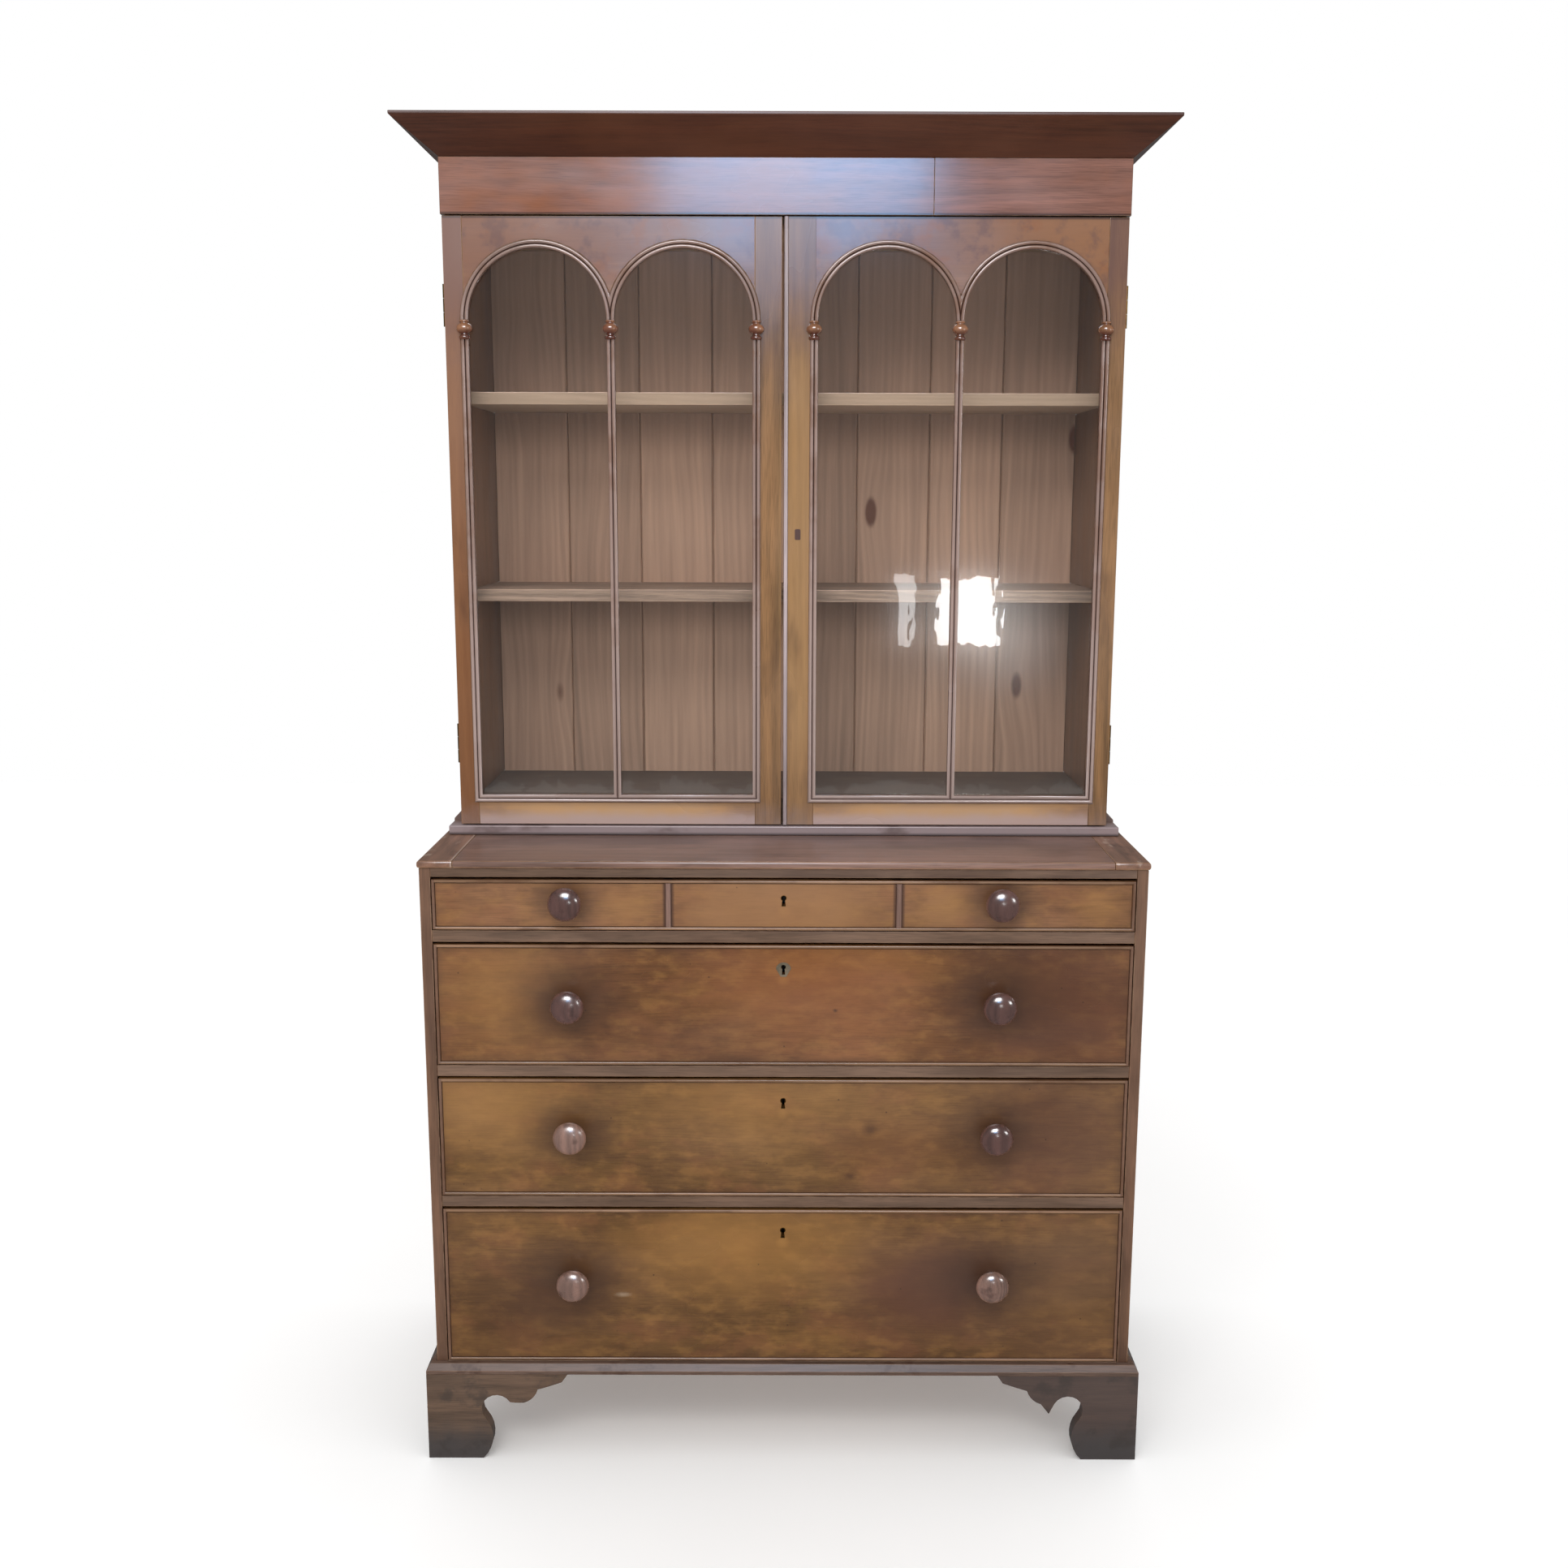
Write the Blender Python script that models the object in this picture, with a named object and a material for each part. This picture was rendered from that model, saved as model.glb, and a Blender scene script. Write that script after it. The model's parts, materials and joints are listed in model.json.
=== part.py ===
"""A glazed bookcase standing on a chest of drawers, built piece by piece.

Metres, +Z up, the front towards -Y. The origin is on the floor, under the middle of the
box that holds the whole piece. Every place below is worked out from the named sizes.
"""

import math

import bmesh
import bpy
from mathutils import Matrix, Vector

for old in list(bpy.data.objects):
    bpy.data.objects.remove(old, do_unlink=True)

# Fits
SEAT_GAP = 0.0003
DRAWER_SIDE_CLEARANCE = 0.0015
DRAWER_FOOT_CLEARANCE = 0.0015
DRAWER_HEAD_CLEARANCE = 0.004
DOOR_EDGE_CLEARANCE = 0.002
MEETING_CLEARANCE = 0.003

# Chest carcass
CHEST_WIDTH = 1.110
CHEST_DEPTH = 0.500
CHEST_SIDE_THICKNESS = 0.017
CHEST_BACK_THICKNESS = 0.009
CHEST_TOP_THICKNESS = 0.012
CHEST_TOP_SIDE_OVERHANG = 0.002
CHEST_TOP_FRONT_OVERHANG = 0.005
NOSING_RADIUS = 0.004
DIVIDER_THICKNESS = 0.018
TOP_RAIL_HEIGHT = 0.014
TOP_RAIL_DEPTH = 0.060

# Drawer openings, from the lowest to the highest
BOTTOM_OPENING_HEIGHT = 0.264
LOWER_OPENING_HEIGHT = 0.198
UPPER_OPENING_HEIGHT = 0.198
TOP_OPENING_HEIGHT = 0.084

# Drawers
DRAWER_FRONT_THICKNESS = 0.020
DRAWER_WALL_THICKNESS = 0.010
DRAWER_FLOOR_THICKNESS = 0.008
DRAWER_BOX_DROP = 0.012
DRAWER_BACK_SPACE = 0.014
COCKBEAD_WIDTH = 0.0046
COCKBEAD_PROJECTION = 0.0025
MOCK_DIVIDER_OFFSET = 0.176
MOCK_DIVIDER_WIDTH = 0.010
MOCK_DIVIDER_PROJECTION = 0.0022
KNOB_SPACING = 0.662
BOTTOM_KNOB_RISE = 0.012
LOWER_KNOB_RISE = 0.009
UPPER_KNOB_RISE = 0.004
TOP_KNOB_RISE = 0.007
KNOB_DIAMETER = 0.052
KNOB_PROJECTION = 0.042
KNOB_NECK_DIAMETER = 0.026
SPIGOT_DIAMETER = 0.015
KEY_DROP = 0.039
TOP_DRAWER_KEY_DROP = 0.032
KEYHOLE_WIDTH = 0.009
KEYHOLE_HEIGHT = 0.0175
LOCK_WIDTH = 0.070
LOCK_THICKNESS = 0.012
LOCK_BELOW_KEY = 0.019

# Base moulding and bracket feet of the chest
BASE_STRIP_HEIGHT = 0.016
BASE_PROJECTION = 0.015
BASE_FACE_HEIGHT = 0.006
BASE_MOULDING_HEIGHT = 0.027
BASE_TOP_LAND = 0.002
FOOT_HEIGHT = 0.146
FOOT_FRONT_SPAN = 0.226
FOOT_SIDE_SPAN = 0.190
FOOT_BACK_SPAN = 0.130
FOOT_SOLE_WIDTH = 0.088
FOOT_BOARD_THICKNESS = 0.022
SPUR_DROP = 0.018
WORN_SPUR_DROP = 0.001

# Bookcase
BOOKCASE_SIDE_SETBACK = 0.0275
LEDGE_DEPTH = 0.195
CASE_SIDE_THICKNESS = 0.020
CASE_BACK_THICKNESS = 0.010
CASE_TOP_THICKNESS = 0.018
CASE_FLOOR_THICKNESS = 0.018
CASE_FLOOR_HEIGHT = 0.056
PLINTH_THICKNESS = 0.018
SHELF_THICKNESS = 0.019
LOWER_SHELF_HEIGHT = 0.377
UPPER_SHELF_HEIGHT = 0.689
SHELF_SETBACK = 0.025
HOUSING_DEPTH = 0.006
BACK_BOARD_WIDTH = 0.130
BACK_GROOVE_WIDTH = 0.004
BACK_GROOVE_DEPTH = 0.003

# Moulding round the foot of the bookcase
WAIST_SIDE_PROJECTION = 0.019
WAIST_FRONT_PROJECTION = 0.008
WAIST_STRIP_HEIGHT = 0.015
WAIST_FACE_HEIGHT = 0.019
WAIST_HEIGHT = 0.037
WAIST_TOP_LAND = 0.002
WAIST_SWING_RELIEF = 0.012

# Frieze and cornice
FRIEZE_HEIGHT = 0.084
FRIEZE_PROJECTION = 0.002
CORNICE_HEIGHT = 0.0525
CORNICE_PROJECTION = 0.060
CORNICE_FILLET = 0.0045
CORNICE_WALL = 0.024
CORNICE_FLOOR = 0.010

# Doors
DOOR_HEIGHT = 0.9505
DOOR_THICKNESS = 0.022
CASE_TOP_LAP = 0.008
MEETING_OFFSET = -0.0035
MEETING_BEAD_WIDTH = 0.007
MEETING_BEAD_PROJECTION = 0.0025
OUTER_BAR_INSET = 0.030
INNER_BAR_OFFSET = 0.045
BAR_WIDTH = 0.0125
BAR_DEPTH = 0.010
BAR_PROJECTION = 0.003
BOTTOM_RAIL_HEIGHT = 0.0365
CROWN_MARGIN = 0.0341
BOSS_DROP = 0.0135
BOSS_DIAMETER = 0.023
BOSS_HEIGHT = 0.017
PANE_THICKNESS = 0.003

# Butt hinges
HINGE_INSET = 0.130
LEAF_HEIGHT = 0.064
LEAF_WIDTH = 0.016
LEAF_THICKNESS = 0.0008
KNUCKLE_DIAMETER = 0.0064
PIN_DIAMETER = 0.0030
PIN_CLEARANCE = 0.0003
KNUCKLE_GAP = 0.0004

# How finely round shapes are faceted
ARCH_STEPS = 18
KNOB_STEPS = 18
SMALL_STEPS = 12

# Finishes: colour, roughness and metallic value
FINISHES = {
    "red_brown_wood": ((0.19, 0.075, 0.038), 0.34, 0.0),
    "golden_wood": ((0.24, 0.115, 0.045), 0.38, 0.0),
    "dark_wood": ((0.075, 0.028, 0.018), 0.36, 0.0),
    "foot_wood": ((0.10, 0.055, 0.03), 0.55, 0.0),
    "knob_wood": ((0.10, 0.035, 0.028), 0.18, 0.0),
    "pine": ((0.30, 0.18, 0.10), 0.65, 0.0),
    "old_glass": ((0.85, 0.88, 0.87), 0.04, 0.0),
    "brass": ((0.42, 0.28, 0.10), 0.40, 1.0),
    "iron": ((0.10, 0.095, 0.09), 0.55, 1.0),
}

# Places that follow from the sizes: across, front to back, and up
CHEST_HALF = CHEST_WIDTH / 2
CHEST_INNER_HALF = CHEST_HALF - CHEST_SIDE_THICKNESS
CASE_HALF = CHEST_HALF - BOOKCASE_SIDE_SETBACK
CASE_INNER_HALF = CASE_HALF - CASE_SIDE_THICKNESS

BACK_Y = (CHEST_DEPTH + KNOB_PROJECTION) / 2
CHEST_FRONT_Y = BACK_Y - CHEST_DEPTH
DOOR_FRONT_Y = CHEST_FRONT_Y + LEDGE_DEPTH
DOOR_BACK_Y = DOOR_FRONT_Y + DOOR_THICKNESS
DOOR_GAP = 2 * LEAF_THICKNESS + 3 * SEAT_GAP
CASE_FRONT_Y = DOOR_BACK_Y + DOOR_GAP
CHEST_INSIDE_BACK_Y = BACK_Y - CHEST_BACK_THICKNESS
CASE_INSIDE_BACK_Y = BACK_Y - CASE_BACK_THICKNESS

CHEST_FOOT_Z = FOOT_HEIGHT + SEAT_GAP
CHEST_FLOOR_Z = FOOT_HEIGHT + BASE_STRIP_HEIGHT
OPENING_HEIGHTS = (
    BOTTOM_OPENING_HEIGHT,
    LOWER_OPENING_HEIGHT,
    UPPER_OPENING_HEIGHT,
    TOP_OPENING_HEIGHT,
)
OPENING_FLOORS = [
    CHEST_FLOOR_Z + sum(OPENING_HEIGHTS[:i]) + i * DIVIDER_THICKNESS
    for i in range(len(OPENING_HEIGHTS))
]
TOP_RAIL_Z = OPENING_FLOORS[-1] + TOP_OPENING_HEIGHT
CHEST_TOP_UNDERSIDE_Z = TOP_RAIL_Z + TOP_RAIL_HEIGHT
LEDGE_Z = CHEST_TOP_UNDERSIDE_Z + CHEST_TOP_THICKNESS
DOOR_BOTTOM_Z = LEDGE_Z + WAIST_STRIP_HEIGHT + DOOR_EDGE_CLEARANCE
DOOR_TOP_Z = DOOR_BOTTOM_Z + DOOR_HEIGHT
FRIEZE_Z = DOOR_TOP_Z + DOOR_EDGE_CLEARANCE
CORNICE_Z = FRIEZE_Z + FRIEZE_HEIGHT
CASE_FLOOR_Z = LEDGE_Z + CASE_FLOOR_HEIGHT
LOWER_SHELF_Z = LEDGE_Z + LOWER_SHELF_HEIGHT
UPPER_SHELF_Z = LEDGE_Z + UPPER_SHELF_HEIGHT
CASE_TOP_Z = DOOR_TOP_Z - CASE_TOP_LAP

OUTER_BAR_X = CASE_HALF - OUTER_BAR_INSET
MIDDLE_BAR_X = (OUTER_BAR_X + INNER_BAR_OFFSET) / 2
ARCH_RADIUS = (OUTER_BAR_X - INNER_BAR_OFFSET) / 2 / 2
SPRING_Z = DOOR_TOP_Z - CROWN_MARGIN - BAR_WIDTH / 2 - ARCH_RADIUS
BAR_FRONT_Y = DOOR_FRONT_Y - BAR_PROJECTION
BAR_BACK_Y = BAR_FRONT_Y + BAR_DEPTH
HINGE_AXIS_X = CASE_HALF + KNUCKLE_DIAMETER / 2 + SEAT_GAP
HINGE_AXIS_Y = (DOOR_BACK_Y + CASE_FRONT_Y) / 2


def world_place(empty):
    """Where an empty stands. None of them is turned, so their places add up."""
    place = empty.location.copy()
    while empty.parent:
        empty = empty.parent
        place += empty.location
    return place


def add_empty(name, place, parent=None):
    empty = bpy.data.objects.new(name, None)
    bpy.context.scene.collection.objects.link(empty)
    empty.parent = parent
    empty.location = Vector(place) - (world_place(parent) if parent else Vector())
    return empty


def paint(name, finish):
    """A Principled material of the piece's own."""
    colour, roughness, metallic = FINISHES[finish]
    material = bpy.data.materials.new(name)
    material.use_nodes = True
    shader = material.node_tree.nodes["Principled BSDF"]
    shader.inputs["Base Color"].default_value = (*colour, 1.0)
    shader.inputs["Roughness"].default_value = roughness
    shader.inputs["Metallic"].default_value = metallic
    if finish == "old_glass":
        shader.inputs["Transmission Weight"].default_value = 1.0
    return material


def add_object(name, bm, group):
    """A bmesh drawn in world space becomes an object whose origin is the middle of its box."""
    bmesh.ops.recalc_face_normals(bm, faces=bm.faces)
    low = Vector(min(v.co[i] for v in bm.verts) for i in range(3))
    high = Vector(max(v.co[i] for v in bm.verts) for i in range(3))
    centre = (low + high) / 2
    bmesh.ops.translate(bm, verts=bm.verts, vec=-centre)
    mesh = bpy.data.meshes.new(name)
    bm.to_mesh(mesh)
    bm.free()
    piece = bpy.data.objects.new(name, mesh)
    bpy.context.scene.collection.objects.link(piece)
    piece.parent = group
    piece.location = centre - world_place(group)
    return piece


def add_piece(name, bm, finish, group, smooth=False):
    piece = add_object(name, bm, group)
    piece.data.materials.append(paint(name, finish))
    if smooth:
        piece.data.shade_smooth()
        piece.data.set_sharp_from_angle(angle=math.radians(40))
    return piece


def add_helper(name, bm, group):
    """A cutter, or a shape that a Boolean joins to a piece: drawn as wire and never rendered."""
    helper = add_object(name, bm, group)
    helper.hide_render = True
    helper.display_type = "WIRE"
    return helper


def combine(piece, helper, operation):
    modifier = piece.modifiers.new(helper.name, "BOOLEAN")
    modifier.operation = operation
    modifier.solver = "EXACT"
    modifier.object = helper


def box(low, high):
    low, high = Vector(low), Vector(high)
    bm = bmesh.new()
    place = Matrix.Translation((low + high) / 2) @ Matrix.Diagonal((*(high - low), 1.0))
    bmesh.ops.create_cube(bm, size=1.0, matrix=place)
    return bm


def extrude_outline(bm, points, shift):
    """A closed outline pulled along a straight line into a solid with flat ends."""
    face = bm.faces.new([bm.verts.new(point) for point in points])
    grown = bmesh.ops.extrude_face_region(bm, geom=[face])
    moved = [item for item in grown["geom"] if isinstance(item, bmesh.types.BMVert)]
    bmesh.ops.translate(bm, verts=moved, vec=shift)
    return bm


def prism_along_y(outline, front_y, back_y):
    points = [(x, front_y, z) for x, z in outline]
    return extrude_outline(bmesh.new(), points, (0, back_y - front_y, 0))


def prism_along_z(outline, low_z, high_z):
    points = [(x, y, low_z) for x, y in outline]
    return extrude_outline(bmesh.new(), points, (0, 0, high_z - low_z))


def loft(rings, bm=None):
    """A solid over rings of equally many points, with a flat cap on the first and last."""
    bm = bm or bmesh.new()
    rows = [[bm.verts.new(point) for point in ring] for ring in rings]
    bm.faces.new(rows[0])
    bm.faces.new(rows[-1])
    for near, far in zip(rows, rows[1:]):
        for i, start in enumerate(near):
            end = (i + 1) % len(near)
            bm.faces.new((start, near[end], far[end], far[i]))
    return bm


def turn(profile, place, axis, steps, bm=None):
    """Spin a profile of (radius, height) points round an axis; it starts and ends on the axis."""
    bm = bm or bmesh.new()
    place, axis = Vector(place), Vector(axis)
    side = axis.orthogonal().normalized()
    chain = [bm.verts.new(place + side * radius + axis * height) for radius, height in profile]
    edges = [bm.edges.new(pair) for pair in zip(chain, chain[1:])]
    bmesh.ops.spin(
        bm,
        geom=chain + edges,
        cent=place,
        axis=axis,
        angle=2 * math.pi,
        steps=steps,
        use_merge=True,
    )
    bmesh.ops.remove_doubles(bm, verts=bm.verts, dist=1e-6)
    return bm


def rod(start, axis, radius, length, steps, bm=None):
    return turn([(0, 0), (radius, 0), (radius, length), (0, length)], start, axis, steps, bm)


def circle_points(centre, radius, first, last, steps):
    """Points on an arc, both ends included; the angles are in radians."""
    return [
        (
            centre[0] + radius * math.cos(first + (last - first) * i / steps),
            centre[1] + radius * math.sin(first + (last - first) * i / steps),
        )
        for i in range(steps + 1)
    ]


def arc_through(start, middle, end, steps):
    """Points on the circle through three points, from the first to the last."""
    (ax, ay), (bx, by), (cx, cy) = start, middle, end
    cross = 2 * (ax * (by - cy) + bx * (cy - ay) + cx * (ay - by))
    a2, b2, c2 = ax * ax + ay * ay, bx * bx + by * by, cx * cx + cy * cy
    centre_x = (a2 * (by - cy) + b2 * (cy - ay) + c2 * (ay - by)) / cross
    centre_y = (a2 * (cx - bx) + b2 * (ax - cx) + c2 * (bx - ax)) / cross
    radius = math.hypot(ax - centre_x, ay - centre_y)
    first = math.atan2(ay - centre_y, ax - centre_x)
    last = math.atan2(cy - centre_y, cx - centre_x)
    turns_left = (bx - ax) * (cy - ay) - (by - ay) * (cx - ax) > 0
    if turns_left and last < first:
        last += 2 * math.pi
    if not turns_left and last > first:
        last -= 2 * math.pi
    return circle_points((centre_x, centre_y), radius, first, last, steps)


def splayed_moulding(name, group, half_width, front_y, floor_z, sizes, cut_back_y):
    """A moulding mitred round the front and both sides: an upright face, then a slope.

    At the front it is cut off level, so that what opens above it passes freely.
    """
    low = floor_z + SEAT_GAP
    profile = [
        (0, low),
        (1, low),
        (1, floor_z + sizes["face"]),
        (sizes["land"] / sizes["side"], floor_z + sizes["height"]),
        (0, floor_z + sizes["height"]),
    ]
    inner = half_width + SEAT_GAP

    def station(side, at_front):
        places = []
        for out, z in profile:
            y = front_y - SEAT_GAP - out * sizes["front"] if at_front else BACK_Y
            places.append((side * (inner + out * sizes["side"]), y, z))
        return places

    body = loft([station(-1, False), station(-1, True), station(1, True), station(1, False)])
    piece = add_piece(name, body, "red_brown_wood", group)
    reach = inner + 2 * sizes["side"]
    sweep = box(
        (-reach, front_y - 2 * sizes["front"], floor_z + sizes["strip"]),
        (reach, cut_back_y, floor_z + 2 * sizes["height"]),
    )
    combine(piece, add_helper(f"{name}_cutter", sweep, group), "DIFFERENCE")


def build_chest_carcass(group):
    side_top = CHEST_TOP_UNDERSIDE_Z - SEAT_GAP
    for name, side in (("chest_left_side", -1), ("chest_right_side", 1)):
        x_low, x_high = sorted((side * CHEST_INNER_HALF, side * CHEST_HALF))
        body = box((x_low, CHEST_FRONT_Y, CHEST_FOOT_Z), (x_high, BACK_Y, side_top))
        add_piece(name, body, "red_brown_wood", group)

    reach = CHEST_INNER_HALF - SEAT_GAP
    board_back = CHEST_INSIDE_BACK_Y - SEAT_GAP
    bottom = box((-reach, CHEST_FRONT_Y, CHEST_FOOT_Z), (reach, board_back, CHEST_FLOOR_Z))
    add_piece("chest_bottom", bottom, "golden_wood", group)
    back = box((-reach, CHEST_INSIDE_BACK_Y, CHEST_FOOT_Z), (reach, BACK_Y, side_top))
    add_piece("chest_back", back, "pine", group)
    names = ("lower_divider", "middle_divider", "upper_divider")
    for name, floor in zip(names, OPENING_FLOORS[1:]):
        low = (-reach, CHEST_FRONT_Y, floor - DIVIDER_THICKNESS)
        add_piece(name, box(low, (reach, board_back, floor)), "red_brown_wood", group)
    rail_low = (-reach, CHEST_FRONT_Y, TOP_RAIL_Z)
    rail_high = (reach, CHEST_FRONT_Y + TOP_RAIL_DEPTH, side_top)
    add_piece("chest_top_rail", box(rail_low, rail_high), "red_brown_wood", group)
    build_chest_top(group)


def build_chest_top(group):
    half = CHEST_HALF + CHEST_TOP_SIDE_OVERHANG
    front = CHEST_FRONT_Y - CHEST_TOP_FRONT_OVERHANG
    body = box((-half, front, CHEST_TOP_UNDERSIDE_Z), (half, BACK_Y, LEDGE_Z))
    rounded = [
        edge
        for edge in body.edges
        if abs(edge.verts[0].co.z - edge.verts[1].co.z) < SEAT_GAP
        and not all(vert.co.y > BACK_Y - SEAT_GAP for vert in edge.verts)
    ]
    bmesh.ops.bevel(
        body,
        geom=rounded,
        offset=min(NOSING_RADIUS, CHEST_TOP_THICKNESS * 0.4),
        segments=3,
        profile=0.5,
        affect="EDGES",
        material=-1,
    )
    add_piece("chest_top", body, "red_brown_wood", group)


def scroll_outline(span, spur_drop):
    """Outline of a scrolled bracket as (distance from the corner, height): a sole, a round
    ankle, a deep round notch, a hanging spur and two steps up to the moulding."""

    def at(along, up):
        return (FOOT_SOLE_WIDTH + (span - FOOT_SOLE_WIDTH) * along, FOOT_HEIGHT * up)

    ankle, notch_end, step = at(0.036, 0.479), at(0.326, 0.671), at(0.652, 0.822)
    spur = (at(0.391, 0)[0], notch_end[1] - spur_drop)
    outline = [(0, 0)]
    outline += arc_through(at(0, 0), at(0.116, 0.274), ankle, 7)
    outline += arc_through(ankle, at(0.051, 0.712), notch_end, 10)[1:]
    outline.append(spur)
    outline += arc_through(at(0.486, 0.664), at(0.594, 0.726), step, 5)
    outline += arc_through(step, at(0.812, 0.870), at(0.935, 0.911), 4)[1:]
    outline += [at(1, 1), (0, FOOT_HEIGHT)]
    return outline


def plain_outline(span):
    """Outline of the unseen bracket at the back: a sole and one hollow curve up."""
    sole, end = (FOOT_SOLE_WIDTH, 0), (span, FOOT_HEIGHT)
    waist = (FOOT_SOLE_WIDTH + (span - FOOT_SOLE_WIDTH) * 0.18, FOOT_HEIGHT * 0.70)
    return [(0, 0), *arc_through(sole, waist, end, 5), (0, FOOT_HEIGHT)]


def build_foot(name, group, side, corner_y, inward, across, along):
    """Two brackets mitred at the corner: one runs across the chest, one along its side."""
    corner_x = side * (CHEST_HALF + SEAT_GAP + BASE_PROJECTION)
    bm = bmesh.new()

    def bracket(outline, place):
        outer = [bm.verts.new(place(u, 0.0, z)) for u, z in outline]
        inner = [
            bm.verts.new(place(max(u, FOOT_BOARD_THICKNESS), FOOT_BOARD_THICKNESS, z))
            for u, z in outline
        ]
        bm.faces.new(outer)
        bm.faces.new(inner)
        for i in range(len(outline) - 1):
            bm.faces.new((outer[i], outer[i + 1], inner[i + 1], inner[i]))

    bracket(across, lambda u, depth, z: (corner_x - side * u, corner_y + inward * depth, z))
    bracket(along, lambda u, depth, z: (corner_x - side * depth, corner_y + inward * u, z))
    bmesh.ops.remove_doubles(bm, verts=bm.verts, dist=1e-6)
    add_piece(name, bm, "foot_wood", group)


def build_feet(group):
    front_y = CHEST_FRONT_Y - SEAT_GAP - BASE_PROJECTION
    side_bracket = scroll_outline(FOOT_SIDE_SPAN, SPUR_DROP)
    back_bracket = plain_outline(FOOT_BACK_SPAN)
    for word, side, spur in (("left", -1, WORN_SPUR_DROP), ("right", 1, SPUR_DROP)):
        front_bracket = scroll_outline(FOOT_FRONT_SPAN, spur)
        build_foot(f"front_{word}_foot", group, side, front_y, 1, front_bracket, side_bracket)
        build_foot(f"back_{word}_foot", group, side, BACK_Y, -1, back_bracket, side_bracket)


def build_bookcase_shell(group):
    housings = [
        (CASE_FLOOR_Z - CASE_FLOOR_THICKNESS, CASE_FLOOR_Z),
        (LOWER_SHELF_Z, LOWER_SHELF_Z + SHELF_THICKNESS),
        (UPPER_SHELF_Z, UPPER_SHELF_Z + SHELF_THICKNESS),
        (CASE_TOP_Z, CASE_TOP_Z + CASE_TOP_THICKNESS),
    ]
    side_low, side_high = LEDGE_Z + SEAT_GAP, CORNICE_Z - SEAT_GAP
    groove_x = CASE_INNER_HALF + HOUSING_DEPTH
    inner_edge = [(CASE_INNER_HALF, side_low)]
    for low, high in housings:
        inner_edge += [
            (CASE_INNER_HALF, low - SEAT_GAP),
            (groove_x, low - SEAT_GAP),
            (groove_x, high + SEAT_GAP),
            (CASE_INNER_HALF, high + SEAT_GAP),
        ]
    inner_edge.append((CASE_INNER_HALF, side_high))
    outline = [*inner_edge, (CASE_HALF, side_high), (CASE_HALF, side_low)]
    for name, side in (("bookcase_left_side", -1), ("bookcase_right_side", 1)):
        mirrored = [(side * x, z) for x, z in outline]
        body = prism_along_y(mirrored, CASE_FRONT_Y, BACK_Y)
        add_piece(name, body, "red_brown_wood", group)

    reach = groove_x - SEAT_GAP
    board_back = CASE_INSIDE_BACK_Y - SEAT_GAP
    shelf_front = CASE_FRONT_Y + SHELF_SETBACK
    for name, (low, high), front in (
        ("lower_shelf", housings[1], shelf_front),
        ("upper_shelf", housings[2], shelf_front),
        ("bookcase_top", housings[3], CASE_FRONT_Y),
    ):
        add_piece(name, box((-reach, front, low), (reach, board_back, high)), "pine", group)
    build_bookcase_floor(group, reach, board_back)
    build_bookcase_back(group, side_low, side_high)


def build_bookcase_floor(group, reach, board_back):
    """The floor board, and the plinth rail that is glued under its front edge."""
    underside = CASE_FLOOR_Z - CASE_FLOOR_THICKNESS
    body = box((-reach, CASE_FRONT_Y, underside), (reach, board_back, CASE_FLOOR_Z))
    floor = add_piece("bookcase_floor", body, "pine", group)
    rail_half = CASE_INNER_HALF - SEAT_GAP
    rail = box(
        (-rail_half, CASE_FRONT_Y + SEAT_GAP, LEDGE_Z + SEAT_GAP),
        (rail_half, CASE_FRONT_Y + PLINTH_THICKNESS, underside + CASE_FLOOR_THICKNESS / 2),
    )
    combine(floor, add_helper("plinth_rail_shape", rail, group), "UNION")


def build_bookcase_back(group, low, high):
    """Upright boards side by side, drawn as one panel with a V groove at each joint."""
    half = CASE_INNER_HALF - SEAT_GAP
    count = max(2, round(2 * half / BACK_BOARD_WIDTH))
    width = 2 * half / count
    face = [(-half, CASE_INSIDE_BACK_Y)]
    for i in range(1, count):
        joint = -half + i * width
        face += [
            (joint - BACK_GROOVE_WIDTH / 2, CASE_INSIDE_BACK_Y),
            (joint, CASE_INSIDE_BACK_Y + BACK_GROOVE_DEPTH),
            (joint + BACK_GROOVE_WIDTH / 2, CASE_INSIDE_BACK_Y),
        ]
    face.append((half, CASE_INSIDE_BACK_Y))
    outline = [*face, (half, BACK_Y), (-half, BACK_Y)]
    add_piece("bookcase_back", prism_along_z(outline, low, high), "pine", group)


def build_frieze_and_cornice(group):
    half = CASE_HALF + FRIEZE_PROJECTION
    front = DOOR_FRONT_Y - FRIEZE_PROJECTION
    frieze = box((-half, front, FRIEZE_Z), (half, CASE_FRONT_Y - SEAT_GAP, CORNICE_Z - SEAT_GAP))
    add_piece("frieze", frieze, "red_brown_wood", group)

    def ring(out, z, back_out=0.0):
        return [
            (-half - out, front - out, z),
            (half + out, front - out, z),
            (half + out, BACK_Y + back_out, z),
            (-half - out, BACK_Y + back_out, z),
        ]

    top = CORNICE_Z + CORNICE_HEIGHT
    well = CORNICE_PROJECTION - CORNICE_WALL
    cornice = loft(
        [
            ring(0, CORNICE_Z),
            ring(CORNICE_PROJECTION, top - CORNICE_FILLET),
            ring(CORNICE_PROJECTION, top),
            ring(well, top, -CORNICE_WALL),
            ring(-CORNICE_WALL, CORNICE_Z + CORNICE_FLOOR, -CORNICE_WALL),
        ]
    )
    add_piece("cornice", cornice, "dark_wood", group)


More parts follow.
